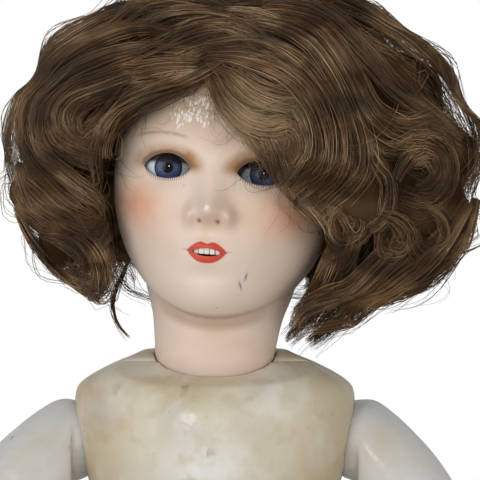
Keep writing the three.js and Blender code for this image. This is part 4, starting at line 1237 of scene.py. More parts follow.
@dataclass(frozen=True)
class Lock:
    """A lock combed from the part or the cap: where it grows, where it ends, and how it waves."""

    root: tuple[float, float, float]
    end: tuple[float, float, float]
    layer: float
    amplitude: float
    wavelength: float
    phase: float
    width: float
    count: int


@dataclass(frozen=True)
class Sweep:
    """A lock drawn as it lies when seen from the front: x and height above the eye line along it."""

    width: float
    count: int
    root_lift: float
    lift: float
    points: tuple[tuple[float, float], ...]


@dataclass
class Wig:
    """The mohair wig: a dark under-layer, dark as painted shade deep in the hair, and several thousand strands
    in waved locks.
    """

    head: Head
    reach_left: float = 114.0
    reach_right: float = 97.0
    reach_front: float = 62.0
    reach_back: float = 78.0
    reach_top: float = 86.0
    reach_bottom: float = 70.0
    waves: float = 7.0
    wave_depth: float = 0.08
    wave_drift: float = 0.9
    lobes: float = 7.0
    lobe_depth: float = 0.05
    strand_radius: float = 0.145
    drawn_steps: int = 22
    combed_steps: int = 16
    strands_per_piece: int = 1300
    strands_per_tuft: int = 10
    neck_clear: float = 37.0
    front_ease: float = 1.5
    scalp_clear: float = 1.3
    skin_clear: float = 0.7
    curl_depth: float = 1.3
    frizz_depth: float = 0.35
    loose_share: float = 0.16
    taper: Profile = ((0, 1.0), (0.6, 0.9), (1, 0.35))
    core: Vector = Vector((0, 20, 14))
    core_radius: float = 2.0
    covered: float = 20.0
    wisp_counts: tuple[int, int] = (30, 46)
    wisp_tones: tuple[int, int] = (1, 3)
    wisp_girth: float = 0.5
    seed: int = 11
    tones: tuple[HairTone, ...] = (
        HairTone(0, (88, 60, 35), (140, 110, 76)), HairTone(1, (108, 77, 46), (168, 138, 102)),
        HairTone(2, (68, 45, 25), (106, 78, 50)), HairTone(3, (140, 110, 74), (204, 176, 138)),
        HairTone(4, (96, 61, 31), (146, 108, 68)), HairTone(5, (46, 29, 16), (74, 52, 32)),
    )
    tone_chances: tuple[float, ...] = (0.24, 0.2, 0.2, 0.12, 0.12, 0.12)
    left_edge: Profile = ((-70, -30), (-58, -34), (-38, -42), (-16, -46), (0, -48), (10, -47.5), (18, -44),
                          (23, -39), (28, -31), (33, -20), (38, -8))
    right_edge: Profile = ((-70, 33), (-56, 37), (-44, 44), (-30, 48), (-18, 46), (-12, 38), (-8, 31),
                           (-4, 26), (3, 23), (8, 18), (15, 12), (22, 5), (31, -4), (38, -6))
    sweeps: tuple[Sweep, ...] = (
        Sweep(3, 135, 0.2, 0.5, ((-7, 41), (-13, 34), (-21, 29), (-31, 24), (-39, 19), (-45, 13), (-49, 5))),
        Sweep(4, 135, 0.3, 0.6, ((-8, 42), (-17, 36), (-28, 31), (-38, 26), (-46, 19), (-52, 10), (-52, 2))),
        Sweep(3, 65, 0.5, 0.6, ((7, 28), (11, 20), (16, 13), (21, 7), (26, 0), (30, -6))),
        Sweep(3, 65, 0.5, 0.7, ((17, 27), (21, 18), (25, 10), (29, 2), (33, -6), (38, -10))),
        Sweep(2.2, 80, 0.15, 0.5, ((-6, 40), (-3, 34), (2, 26), (8, 20), (16, 16), (24, 17), (30, 20))),
        Sweep(4.6, 180, 0.35, 0.8, ((-8, 41), (-26, 37), (-43, 34), (-56, 28), (-63, 19), (-62, 10),
              (-55, 5), (-46, 4))),
        Sweep(5, 180, 0.45, 0.9, ((-10, 45), (-26, 44), (-45, 39), (-61, 33), (-70, 23), (-71, 13),
              (-65, 5), (-48, 0))),
        Sweep(5.2, 180, 0.5, 0.95, ((-11, 50), (-29, 50), (-49, 45), (-67, 36), (-77, 23), (-78, 10),
              (-72, -1), (-48, -15))),
        Sweep(5.4, 165, 0.6, 0.95, ((-13, 56), (-35, 59), (-56, 52), (-74, 40), (-84, 26), (-85, 10),
              (-80, -5), (-58, -21))),
        Sweep(5.4, 150, 0.4, 0.95, ((-10, 61), (-42, 68), (-64, 58), (-80, 47), (-90, 33), (-95, 17),
              (-93, 0), (-80, -24))),
        Sweep(4.6, 135, 0.9, 0.8, ((-84, 7), (-80, -2), (-72, -5), (-60, -11), (-52, -16), (-46, -19))),
        Sweep(4.6, 135, 0.9, 0.8, ((-88, -4), (-82, -13), (-71, -20), (-58, -25), (-49, -27), (-46, -24))),
        Sweep(4.4, 120, 0.9, 0.8, ((-89, -14), (-80, -22), (-67, -29), (-56, -32), (-48, -30), (-45, -26))),
        Sweep(4.6, 165, 0.9, 0.85, ((-88, -22), (-74, -31), (-59, -33), (-50, -38), (-48, -46),
              (-54, -52), (-67, -45))),
        Sweep(4, 120, 0.95, 0.95, ((-76, -32), (-68, -34), (-60, -36), (-54, -41), (-54, -46), (-59, -48),
              (-63, -43))),
        Sweep(4.4, 150, 0.8, 0.85, ((-92, -25), (-84, -35), (-75, -43), (-65, -52), (-55, -55),
              (-47, -51), (-46, -42))),
        Sweep(3.4, 90, 0.6, 0.7, ((-48, -32), (-45, -40), (-46, -48), (-50, -54), (-56, -57), (-60, -54))),
        Sweep(0.9, 20, 0.5, 0.6, ((-74, -44), (-71, -51), (-68, -56), (-65, -57), (-65, -53), (-68, -49))),
        Sweep(1.1, 30, 0.5, 0.6, ((-60, -51), (-58, -58), (-56, -62), (-53, -62), (-52, -58), (-54, -52))),
        Sweep(1.3, 35, -0.3, -0.35, ((-41, -40), (-44, -50), (-46, -60), (-43, -69), (-37, -75))),
        Sweep(2.4, 15, 0.5, 0.6, ((38, 4), (33, -5), (35, -14), (42, -18), (47, -15))),
        Sweep(2.4, 15, 0.5, 0.6, ((42, -3), (36, -11), (39, -20), (47, -22))),
        Sweep(2.0, 15, 0.5, 0.6, ((-47, 17), (-41, 11), (-38, 4), (-42, 1), (-45, 6))),
        Sweep(3.6, 165, 0.25, 0.8, ((-6, 40), (3, 30), (13, 22), (22, 20), (30, 22), (36, 17), (37, 7),
              (29, -6))),
        Sweep(4, 165, 0.4, 0.85, ((-7, 44), (5, 40), (15, 33), (25, 30), (33, 29), (39, 20), (40, 9),
              (31, -7))),
        Sweep(4.6, 180, 0.5, 0.9, ((-7, 48), (8, 48), (24, 44), (37, 35), (44, 24), (47, 11), (44, 0),
              (34, -10))),
        Sweep(4.8, 180, 0.6, 0.95, ((-8, 53), (10, 56), (29, 50), (44, 37), (53, 22), (55, 8), (52, -2),
              (42, -12))),
        Sweep(4.8, 165, 0.7, 0.95, ((-8, 58), (13, 64), (36, 56), (51, 38), (61, 20), (63, 6), (58, -4),
              (48, -13))),
        Sweep(5, 165, 0.3, 1, ((-4, 60), (14, 68), (38, 63), (53, 47), (64, 30), (76, 24), (88, 28),
              (96, 25))),
        Sweep(5.2, 165, 0.3, 1, ((-3, 60), (14, 72), (38, 71), (57, 57), (74, 41), (88, 32), (103, 22))),
        Sweep(5.2, 150, 0.3, 1, ((-2, 60), (16, 76), (42, 79), (66, 69), (87, 54), (102, 34), (108, 15),
              (105, -1))),
        Sweep(4.8, 180, 0.9, 1, ((63, 19), (71, 15), (80, 19), (88, 19), (95, 14), (97, 4), (90, -6),
              (78, -4))),
        Sweep(4, 135, 0.95, 1, ((76, 2), (78, 8), (82, 13), (88, 14), (92, 8), (90, 1), (84, -2))),
        Sweep(4.4, 135, 0.9, 0.9, ((60, 23), (66, 12), (72, 4), (74, -5), (72, -14), (66, -20))),
        Sweep(4.6, 150, 0.8, 0.9, ((86, -14), (80, -25), (70, -37), (61, -46), (52, -51), (43, -55),
              (38, -60))),
        Sweep(5, 165, 0.85, 0.9, ((106, -5), (98, -19), (89, -31), (77, -41), (66, -51), (56, -61),
              (40, -66))),
        Sweep(4.6, 135, 0.85, 0.95, ((109, -3), (106, -18), (101, -28), (93, -37), (82, -43), (72, -48))),
        Sweep(4, 120, 0.4, 0.5, ((53, -18), (52, -29), (49, -40), (44, -50), (38, -59), (37, -65))),
        Sweep(3.6, 120, 0.9, 0.9, ((56, -9), (63, -14), (62, -21), (55, -23), (52, -17), (57, -12))),
        Sweep(3.8, 120, 0.95, 0.95, ((70, -12), (78, -14), (83, -21), (79, -27), (72, -26), (71, -20))),
        Sweep(3.8, 120, 0.95, 0.95, ((88, -7), (95, -11), (98, -18), (94, -25), (87, -24), (86, -18))),
        Sweep(3.6, 120, 0.85, 0.9, ((47, -10), (54, -15), (58, -23), (56, -30), (51, -34))),
        Sweep(5, 150, -0.3, -0.4, ((44, -14), (48, -28), (47, -42), (43, -54), (38, -64))),
        Sweep(5, 150, -0.2, -0.3, ((52, -16), (56, -30), (54, -44), (49, -56), (42, -66))),
        Sweep(5, 150, -1.6, -2.4, ((50, -20), (50, -36), (45, -50), (37, -62), (28, -72))),
        Sweep(5, 150, -1.2, -2.0, ((56, -24), (58, -40), (54, -54), (47, -64), (38, -72))),
    )

    def __post_init__(self) -> None:
        """Measures the painted face, so that no strand dips into it, and seeds the chances."""
        self.rng = np.random.default_rng(self.seed)
        self.face_x = np.linspace(-44, 44, 45)
        self.face_v = np.linspace(-58, 44, 52)
        middle = self.head.skull.y
        self.face_y = np.array([[self.head.front_at(x, v) - middle for x in self.face_x]
                                for v in self.face_v])

    @staticmethod
    def unit(vectors: np.ndarray) -> np.ndarray:
        """The vectors at a length of 1."""
        return vectors / (np.linalg.norm(vectors, axis=-1, keepdims=True) + 1e-12)

    @staticmethod
    def way(azimuth: float, fall: float) -> tuple[float, float, float]:
        """A direction from the skull's middle.

        Args:
            azimuth: Degrees from the face towards the doll's left.
            fall: Degrees down from the crown.

        Returns:
            The unit vector.
        """
        a, f = math.radians(azimuth), math.radians(fall)
        return math.sin(f) * math.sin(a), -math.sin(f) * math.cos(a), math.cos(f)

    def scalp(self, ways: np.ndarray) -> np.ndarray:
        """Distance from the skull's middle to the head, in each direction.

        Args:
            ways: Directions of length 1.

        Returns:
            The distances.
        """
        head = self.head
        depth = np.where(ways[..., 1] < 0, head.front_depth + self.front_ease, head.back_depth)
        halves = (head.half_width, depth, head.half_height)
        total = sum(np.abs(ways[..., i] / half) ** head.squareness for i, half in enumerate(halves))
        return total ** (-1 / head.squareness)

    def halves(self, ways: np.ndarray) -> list[np.ndarray]:
        """The wig's reach along the three axes, on the side of each point."""
        return [np.where(ways[..., 0] > 0, self.reach_left, self.reach_right),
                np.where(ways[..., 1] < 0, self.reach_front, self.reach_back),
                np.where(ways[..., 2] > 0, self.reach_top, self.reach_bottom)]

    def relief(self, unit: np.ndarray) -> np.ndarray:
        """How far waves and lobes draw the outline in or out, at points of a unit ball.

        Args:
            unit: The points.

        Returns:
            A factor for each point's reach.
        """
        height = np.clip(unit[..., 2], -1, 1)
        fall = np.arccos(height) / math.pi
        turn = np.arctan2(unit[..., 0], -unit[..., 1])
        valley = (1 - np.cos(2 * math.pi * self.waves * fall + self.wave_drift * np.sin(2 * turn))) / 2
        shown = smoothstep(fall, 0.12, 0.28) * (1 - smoothstep(fall, 0.78, 0.9))
        depth = self.wave_depth * (1 - 0.5 * np.maximum(-unit[..., 1], 0))
        low = smoothstep(-height, -0.3, 0.7) * np.sqrt(1 - height**2)
        around = np.arctan2(unit[..., 0], unit[..., 1])
        return (1 - depth * valley * shown) * (1 + self.lobe_depth * np.cos(self.lobes * around) * low)

    def outline(self, ways: np.ndarray) -> np.ndarray:
        """Distance from the skull's middle to the wig's outline, in each direction."""
        scaled = np.stack([ways[..., i] / half for i, half in enumerate(self.halves(ways))], axis=-1)
        reach = 1 / np.linalg.norm(scaled, axis=-1)
        return reach * self.relief(scaled * reach[..., None])

    def into_face(self, x: np.ndarray, v: np.ndarray) -> tuple[np.ndarray, np.ndarray]:
        """How far points lie inside the open face, from its left and its right edge."""
        left = np.interp(v, *np.array(self.left_edge).T)
        right = np.interp(v, *np.array(self.right_edge).T)
        return x - left, right - x

    def skin_at(self, x: np.ndarray, v: np.ndarray) -> np.ndarray:
        """Y of the painted face, from the skull's middle, between its measured points.

        Args:
            x: Across the face.
            v: Above the eye line.

        Returns:
            The y of each point.
        """
        column, row = (np.clip((at - table[0]) / (table[1] - table[0]), 0, len(table) - 1.001)
                       for at, table in ((x, self.face_x), (v, self.face_v)))
        c, r = column.astype(int), row.astype(int)
        cs, rs = column - c, row - r
        low = self.face_y[r, c] * (1 - cs) + self.face_y[r, c + 1] * cs
        high = self.face_y[r + 1, c] * (1 - cs) + self.face_y[r + 1, c + 1] * cs
        return low * (1 - rs) + high * rs

    def combed_line(self, lock: Lock) -> np.ndarray:
        """The waved middle line of a combed lock.

        Args:
            lock: The lock.

        Returns:
            Points from the skull's middle.
        """
        t = np.linspace(0, 1, 64)[:, None]
        ways = self.unit((1 - t) * np.array(lock.root) + t * np.array(lock.end))
        low = self.scalp(ways)[:, None] + 3 + 8 * smoothstep(ways[:, 2:], 0.7, 0.92)
        high = np.maximum(self.outline(ways)[:, None] * lock.layer - lock.amplitude * 0.3, low + 1)
        line = ways * (low + (high - low) * smoothstep(t, 0.0, 0.3))
        along = np.gradient(line, axis=0)
        side = self.unit(np.cross(ways, along))
        length = np.linalg.norm(along, axis=-1).sum()
        phase = lock.phase + 2 * math.pi * t * length / lock.wavelength
        swing = lock.amplitude * smoothstep(t, 0.1, 0.6)
        return line + side * swing * 0.85 * np.sin(phase) + ways * swing * 0.3 * np.cos(phase)

    def drawn_line(self, sweep: Sweep) -> np.ndarray:
        """The middle line of a drawn lock, laid on the wig's front.

        Args:
            sweep: The lock.

        Returns:
            Points from the skull's middle.
        """
        flat = np.array(through(sweep.points, 63))
        line = np.stack([flat[:, 0], np.full(len(flat), -1.0), flat[:, 1]], axis=-1)
        across, front, up = self.halves(line)
        used = (line[:, 0] / across) ** 2 + (line[:, 2] / up) ** 2
        limit = 0.96 if sweep.lift > 0 else 1.4
        line *= np.minimum(np.sqrt(limit / used), 1)[:, None]
        forward = np.sqrt(np.maximum(1 - used, 0.04))
        round_at = np.stack([line[:, 0] / across, -forward, line[:, 2] / up], axis=-1)
        far = -front * forward * self.relief(round_at)
        head, power = self.head, self.head.squareness
        inner = np.abs(line[:, 0] / head.half_width) ** power + np.abs(line[:, 2] / head.half_height) ** power
        near = -(head.front_depth + self.front_ease) * np.clip(1 - inner, 0, 1) ** (1 / power)
        share = np.linspace(0, 1, len(flat))
        lift = sweep.root_lift + (sweep.lift - sweep.root_lift) * smoothstep(share, 0, 0.35)
        line[:, 1] = near + (far - near) * lift
        return line

    def grow(self, line: np.ndarray, width: float, steps: int, stray: float, ease: np.ndarray) -> np.ndarray:
        """Grows the strands of a lock round its middle line.

        Args:
            line: Points of the middle line.
            width: Half the lock's width.
            steps: How many points each strand has.
            stray: How far its few loose strands stand off.
            ease: How far each strand keeps from the open face, or hangs into it if negative.

        Returns:
            Points from the skull's middle, by strand and step.
        """
        count, rng = len(ease), self.rng
        chance = (count, 1)
        along, out = self.unit(np.gradient(line, axis=0)), self.unit(line)
        out = self.unit(out - along * (out * along).sum(axis=-1, keepdims=True))
        side = np.cross(out, along)
        t = np.linspace(0, 1, steps)[None, :] * rng.uniform(0.86, 1.0, chance)
        t = np.clip(t + rng.normal(0, 0.014, chance) * np.sin(math.pi * t), 0, 1)
        where = t * (len(line) - 1)
        numbers = np.arange(len(line))
        at, side, out = (np.stack([np.interp(where, numbers, table[:, i]) for i in range(3)], axis=-1)
                         for table in (line, side, out))
        tufts = max(count // self.strands_per_tuft, 1)

        def by_tuft(chances: np.ndarray) -> np.ndarray:
            """Gives the number of each tuft to its strands."""
            return chances[np.arange(count) % tufts][:, None]

        spread = (0.5 + 0.5 * smoothstep(t, 0, 0.3)) * (1 - 0.3 * smoothstep(t, 0.65, 1)) * width
        turns = by_tuft(rng.uniform(4, 10, tufts)) + rng.normal(0, 0.5, chance)
        start = by_tuft(rng.uniform(0, 6.3, tufts)) + rng.normal(0, 0.3, chance)
        curl = self.curl_depth * t**0.7 * np.sin(turns * t + start)
        ripple = rng.uniform(12, 26, chance) * t + rng.uniform(0, 6.3, chance)
        frizz = self.frizz_depth * np.sqrt(t) * np.sin(ripple)
        loose = np.where(rng.random(chance) < self.loose_share, rng.normal(0, stray, chance), 0.0) * t
        sideways = by_tuft(rng.normal(0, 0.58, tufts)) + rng.normal(0, 0.28, chance)
        outwards = by_tuft(rng.normal(0, 0.34, tufts)) + rng.normal(0, 0.16, chance)
        sideways = np.clip(sideways, -1.7, 1.7) * spread + curl + frizz + loose
        outwards = np.clip(outwards, -1, 0.8) * spread + frizz * 0.8 + np.abs(loose) * 0.5
        return self.cleared(at + side * sideways[..., None] + out * outwards[..., None], ease)

    def cleared(self, made: np.ndarray, ease: np.ndarray) -> np.ndarray:
        """Keeps strands off the face, out of the head, clear of the neck and inside the outline.

        Args:
            made: Points from the skull's middle.
            ease: How far each strand keeps from the open face.

        Returns:
            The moved points.
        """
        from_left, from_right = self.into_face(made[..., 0], made[..., 2])
        inside = np.minimum(from_left, from_right) + ease[:, None] > 0
        to_left = np.mean(from_left < from_right, axis=1, keepdims=True) > 0.5
        away = np.where(to_left, -from_left - ease[:, None], from_right + ease[:, None]) * inside
        made[..., 0] += away * smoothstep(-made[..., 1], 2, 14) * smoothstep(40 - made[..., 2], 0, 10)
        reach = np.linalg.norm(made, axis=-1, keepdims=True)
        ways = made / reach
        behind = smoothstep(-made[..., 2], 40, 60) * (made[..., 1] > 0)
        most = self.outline(ways)[..., None] * 1.05 + 2 + 9 * behind[..., None]
        made = ways * np.clip(reach, self.scalp(ways)[..., None] + self.scalp_clear, most)
        x, y, v = (made[..., i] for i in range(3))
        skin = self.skin_at(x, v) - self.skin_clear
        over = (np.abs(x) < 43) & (y < -18) & (v > -56) & (v < 42)
        made[..., 1] = np.where(over, np.minimum(y, skin), y)
        axis = made[..., :2] - np.array([0, self.head.forward])
        off = np.linalg.norm(axis, axis=-1)
        low = smoothstep(-made[..., 2], 34, 44)
        push = np.maximum(self.neck_clear / np.maximum(off, 1e-6), 1)
        made[..., :2] += axis * ((push - 1) * low)[..., None]
        return made

    def locks(self) -> list[Lock]:
        """Lays out the combed locks: from the part over both sides, then the layers under them.

        Returns:
            The locks.
        """
        rng = self.rng
        made: list[Lock] = []

        def add(root: tuple, end: tuple, layer: float, count: int, amplitude: float, width: float) -> None:
            """Adds one lock, waved in step with its neighbours."""
            turn = math.atan2(end[0], -end[1])
            phase = self.wave_drift * math.sin(2 * turn + 0.6) + rng.normal(0, 0.35)
            swing = amplitude * rng.uniform(0.85, 1.2)
            made.append(Lock(root, end, layer, swing, rng.uniform(43, 50), phase, width, count))

        for sign in (1, -1):
            # From the part over the side, at three lengths.
            for k in range(22):
                share = k / 21
                lean = math.radians(40 - 104 * share)
                root = (-0.05 - 0.06 * sign, -math.sin(lean), math.cos(lean))
                near = 62 if sign > 0 else 78
                turn = near + (176 - near) * share**0.85
                deep = 0.86 + 0.14 * smoothstep(turn, 88, 112)
                for fall in (92, 110, 128):
                    end = self.way(sign * (turn + rng.normal(0, 4)), fall + rng.normal(0, 4))
                    add(root, end, deep * (1.0 + rng.normal(0, 0.025)), 34, 5.5, 7)
            # Two layers from the cap, under those.
            for fall, layer in ((62, 0.82), (84, 0.9)):
                for k in range(10):
                    turn = 68 + 12.2 * k
                    deep = layer * (0.88 + 0.12 * smoothstep(turn, 88, 112))
                    end = self.way(sign * (turn + rng.normal(0, 5)), 134 + rng.normal(0, 6))
                    add(self.way(sign * turn, fall), end, deep + rng.normal(0, 0.03), 28, 6.5, 7)
            # The lowest row, down to the neck.
            for k in range(13):
                turn = 76 + 8.4 * k
                end = self.way(sign * (turn + rng.normal(0, 8)), 141 + rng.normal(0, 5))
                add(self.way(sign * turn, 104), end, 0.98 + rng.normal(0, 0.03), 26, 7.5, 5.5)
            # Pairs of hairs that stand off.
            for _ in range(150):
                turn, fall = rng.uniform(78, 178), rng.uniform(10, 105)
                end = self.way(sign * (turn + rng.normal(0, 18)), fall + rng.uniform(20, 45))
                add(self.way(sign * turn, fall), end, 1.03 + abs(rng.normal(0, 0.03)), 2, 3, 6)
        return made

    def build_base(self) -> None:
        """The dark under-layer that shows between the locks, coloured as painted shade deep in the hair."""
        bm = ball(1, segments=120)

        def shaped(point: Vector) -> Vector:
            """Puts a corner on the under-layer, or inside the head where the face is open.

            Args:
                point: The corner on a unit ball.

            Returns:
                Its place in the head's frame.
            """
            way = np.array(point)[None, :]
            skin, edge = float(self.scalp(way)[0]), float(self.outline(way)[0])
            at = point * (skin + 2)
            from_left, from_right = self.into_face(np.array([at.x]), np.array([at.z]))
            inside = float(min(from_left[0], from_right[0])) - self.covered * smoothstep(at.y, -18, -2)
            if at.y >= 6 or (at.z > 37 and at.y > -44):
                inside = -self.covered
            low = smoothstep(-at.z, 30, 46) * smoothstep(-at.y, -50, -20)
            share = smoothstep(-inside, -2, 6) * (1 - low)
            thin = 0.8 * bell(at.x / 30) * smoothstep(at.z, -10, 30) * smoothstep(-at.y, -20, 20)
            hidden = self.core + point * self.core_radius
            shown = point * (skin + (edge - skin) * (0.96 - thin))
            return self.head.skull + hidden.lerp(shown, share)

        base = Clay("wig_under_layer", bm).warp(shaped)
        # Dark as painted shade: it stands for the shadowed hair deep in the wig.
        dark = HairTone(9, (60, 45, 30), (82, 62, 43), shine=0.0).material(self.head, self.waves)
        base.finish(self.head.carried, "head", "hair", dark, ["wig_hair"])

    def strands(self) -> list[tuple[np.ndarray, int, float]]:
        """Grows every strand.

        Returns:
            For each strand its points from the skull's middle, the number of its tone and its share of the
            usual girth.
        """
        rng = self.rng
        made: list[tuple[np.ndarray, int, float]] = []

        def add(line: np.ndarray, width: float, steps: int, stray: float, ease: np.ndarray) -> None:
            """Grows one lock, each tuft mostly of one tone.

            Args:
                line: Points of its middle line.
                width: Half its width.
                steps: How many points each strand has.
                stray: How far its few loose strands stand off.
                ease: How far each strand keeps from the open face.
            """
            count = len(ease)
            tufts = max(count // self.strands_per_tuft, 1)
            by_tuft = rng.choice(len(self.tones), tufts, p=self.tone_chances)[np.arange(count) % tufts]
            follows = rng.random(count) < 0.5
            picks = np.where(follows, by_tuft, rng.choice(len(self.tones), count, p=self.tone_chances))
            hairs = self.grow(line, width, steps, stray, ease)
            made.extend((hair, int(pick), 1.0) for hair, pick in zip(hairs, picks))

        for sweep in self.sweeps:
            line = self.drawn_line(sweep)
            length = np.linalg.norm(np.diff(line, axis=0), axis=-1).sum()
            steps = min(8 + int(length / 10), self.drawn_steps)
            add(line, sweep.width, steps, 5, -rng.exponential(2.0, sweep.count))
            x, v = sweep.points[0]
            starts_at_part = abs(x) < 12 and v < 46
            if starts_at_part:
                add(line, 8, self.drawn_steps, 8, -rng.uniform(2, 16, 16))
        made.extend((hair, int(rng.choice(self.wisp_tones)), self.wisp_girth) for hair in self.wisps())
        for lock in self.locks():
            add(self.combed_line(lock), lock.width, self.combed_steps, 4, rng.uniform(0.5, 6, lock.count))
        return made

    def wisps(self) -> list[np.ndarray]:
        """Loose curled hairs over the forehead and the temples, as points from the skull's middle.

        Returns:
            The points of each hair.
        """
        made = []
        rng, steps = self.rng, self.combed_steps
        for edge, inwards, count in zip((self.left_edge, self.right_edge), (1.0, -1.0), self.wisp_counts):
            for low in rng.uniform(-8, 36, count):
                start = np.array([np.interp(low, *np.array(edge).T) - inwards * 2.5, low])
                heading = math.atan2(-rng.uniform(0.2, 1.3), inwards * rng.uniform(-0.1, 1.0))
                heading = heading + np.linspace(0, 1, steps) * rng.normal(0, 1.8)
                heading += 0.5 * np.sin(np.linspace(0, rng.uniform(4, 9), steps) + rng.uniform(0, 6.3))
                stride = rng.uniform(10, 30) / steps
                flat = start + stride * np.cumsum(np.c_[np.cos(heading), np.sin(heading)], axis=0)
                off = rng.uniform(0.6, 1.2) + 1.6 * np.sin(np.linspace(0, math.pi, steps)) * rng.random()
                made.append(np.c_[flat[:, 0], self.skin_at(flat[:, 0], flat[:, 1]) - off, flat[:, 1]])
        return made

    def strand_outline(self) -> bpy.types.Object:
        """The three-sided outline of a strand.

        Returns:
            The curve that each strand's line is swept with.
        """
        curve = bpy.data.curves.new("strand_outline", "CURVE")
        corners = curve.splines.new("POLY")
        corners.points.add(2)
        corners.use_cyclic_u = True
        radius = self.strand_radius * MM
        for point, angle in zip(corners.points, (90, 210, 330)):
            turn = math.radians(angle)
            point.co = (radius * math.cos(turn), radius * math.sin(turn), 0, 1)
        return placed("strand_outline", curve)

    def build_strands(self) -> None:
        """The strands, in pieces of a bounded size."""
        hairs = self.strands()
        tones = [tone.material(self.head, self.waves) for tone in self.tones]
        order = self.rng.permutation(len(hairs))
        scale = np.array(self.head.carried.to_3x3())
        place = np.array(self.head.carried @ self.head.skull)
        outline = self.strand_outline()
        for number, first in enumerate(range(0, len(order), self.strands_per_piece)):
            curve = bpy.data.curves.new("strands", "CURVE")
            curve.dimensions = "3D"
            curve.bevel_mode = "OBJECT"
            curve.bevel_object = outline
            curve.use_fill_caps = True
            for tone in tones:
                curve.materials.append(tone)
            for pick in order[first:first + self.strands_per_piece]:
                hair, tone, girth = hairs[pick]
                points = hair @ scale.T + place
                spline = curve.splines.new("POLY")
                spline.points.add(len(points) - 1)
                spline.points.foreach_set("co", np.c_[points, np.ones(len(points))].ravel())
                slim = np.interp(np.linspace(0, 1, len(points)), *np.array(self.taper).T)
                spline.points.foreach_set("radius", slim * girth * self.rng.uniform(0.75, 1.25))
                spline.material_index = tone
            piece = placed(f"hair_strands_{number}", frozen(placed("strands", curve)))
            bpy.data.curves.remove(curve)
            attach(piece, "head")
            log.info("%s rides on head, %d faces", piece.name, len(piece.data.polygons))
        bpy.data.curves.remove(outline.data)

    def build(self) -> None:
        """Builds the wig."""
        self.build_base()
        self.build_strands()


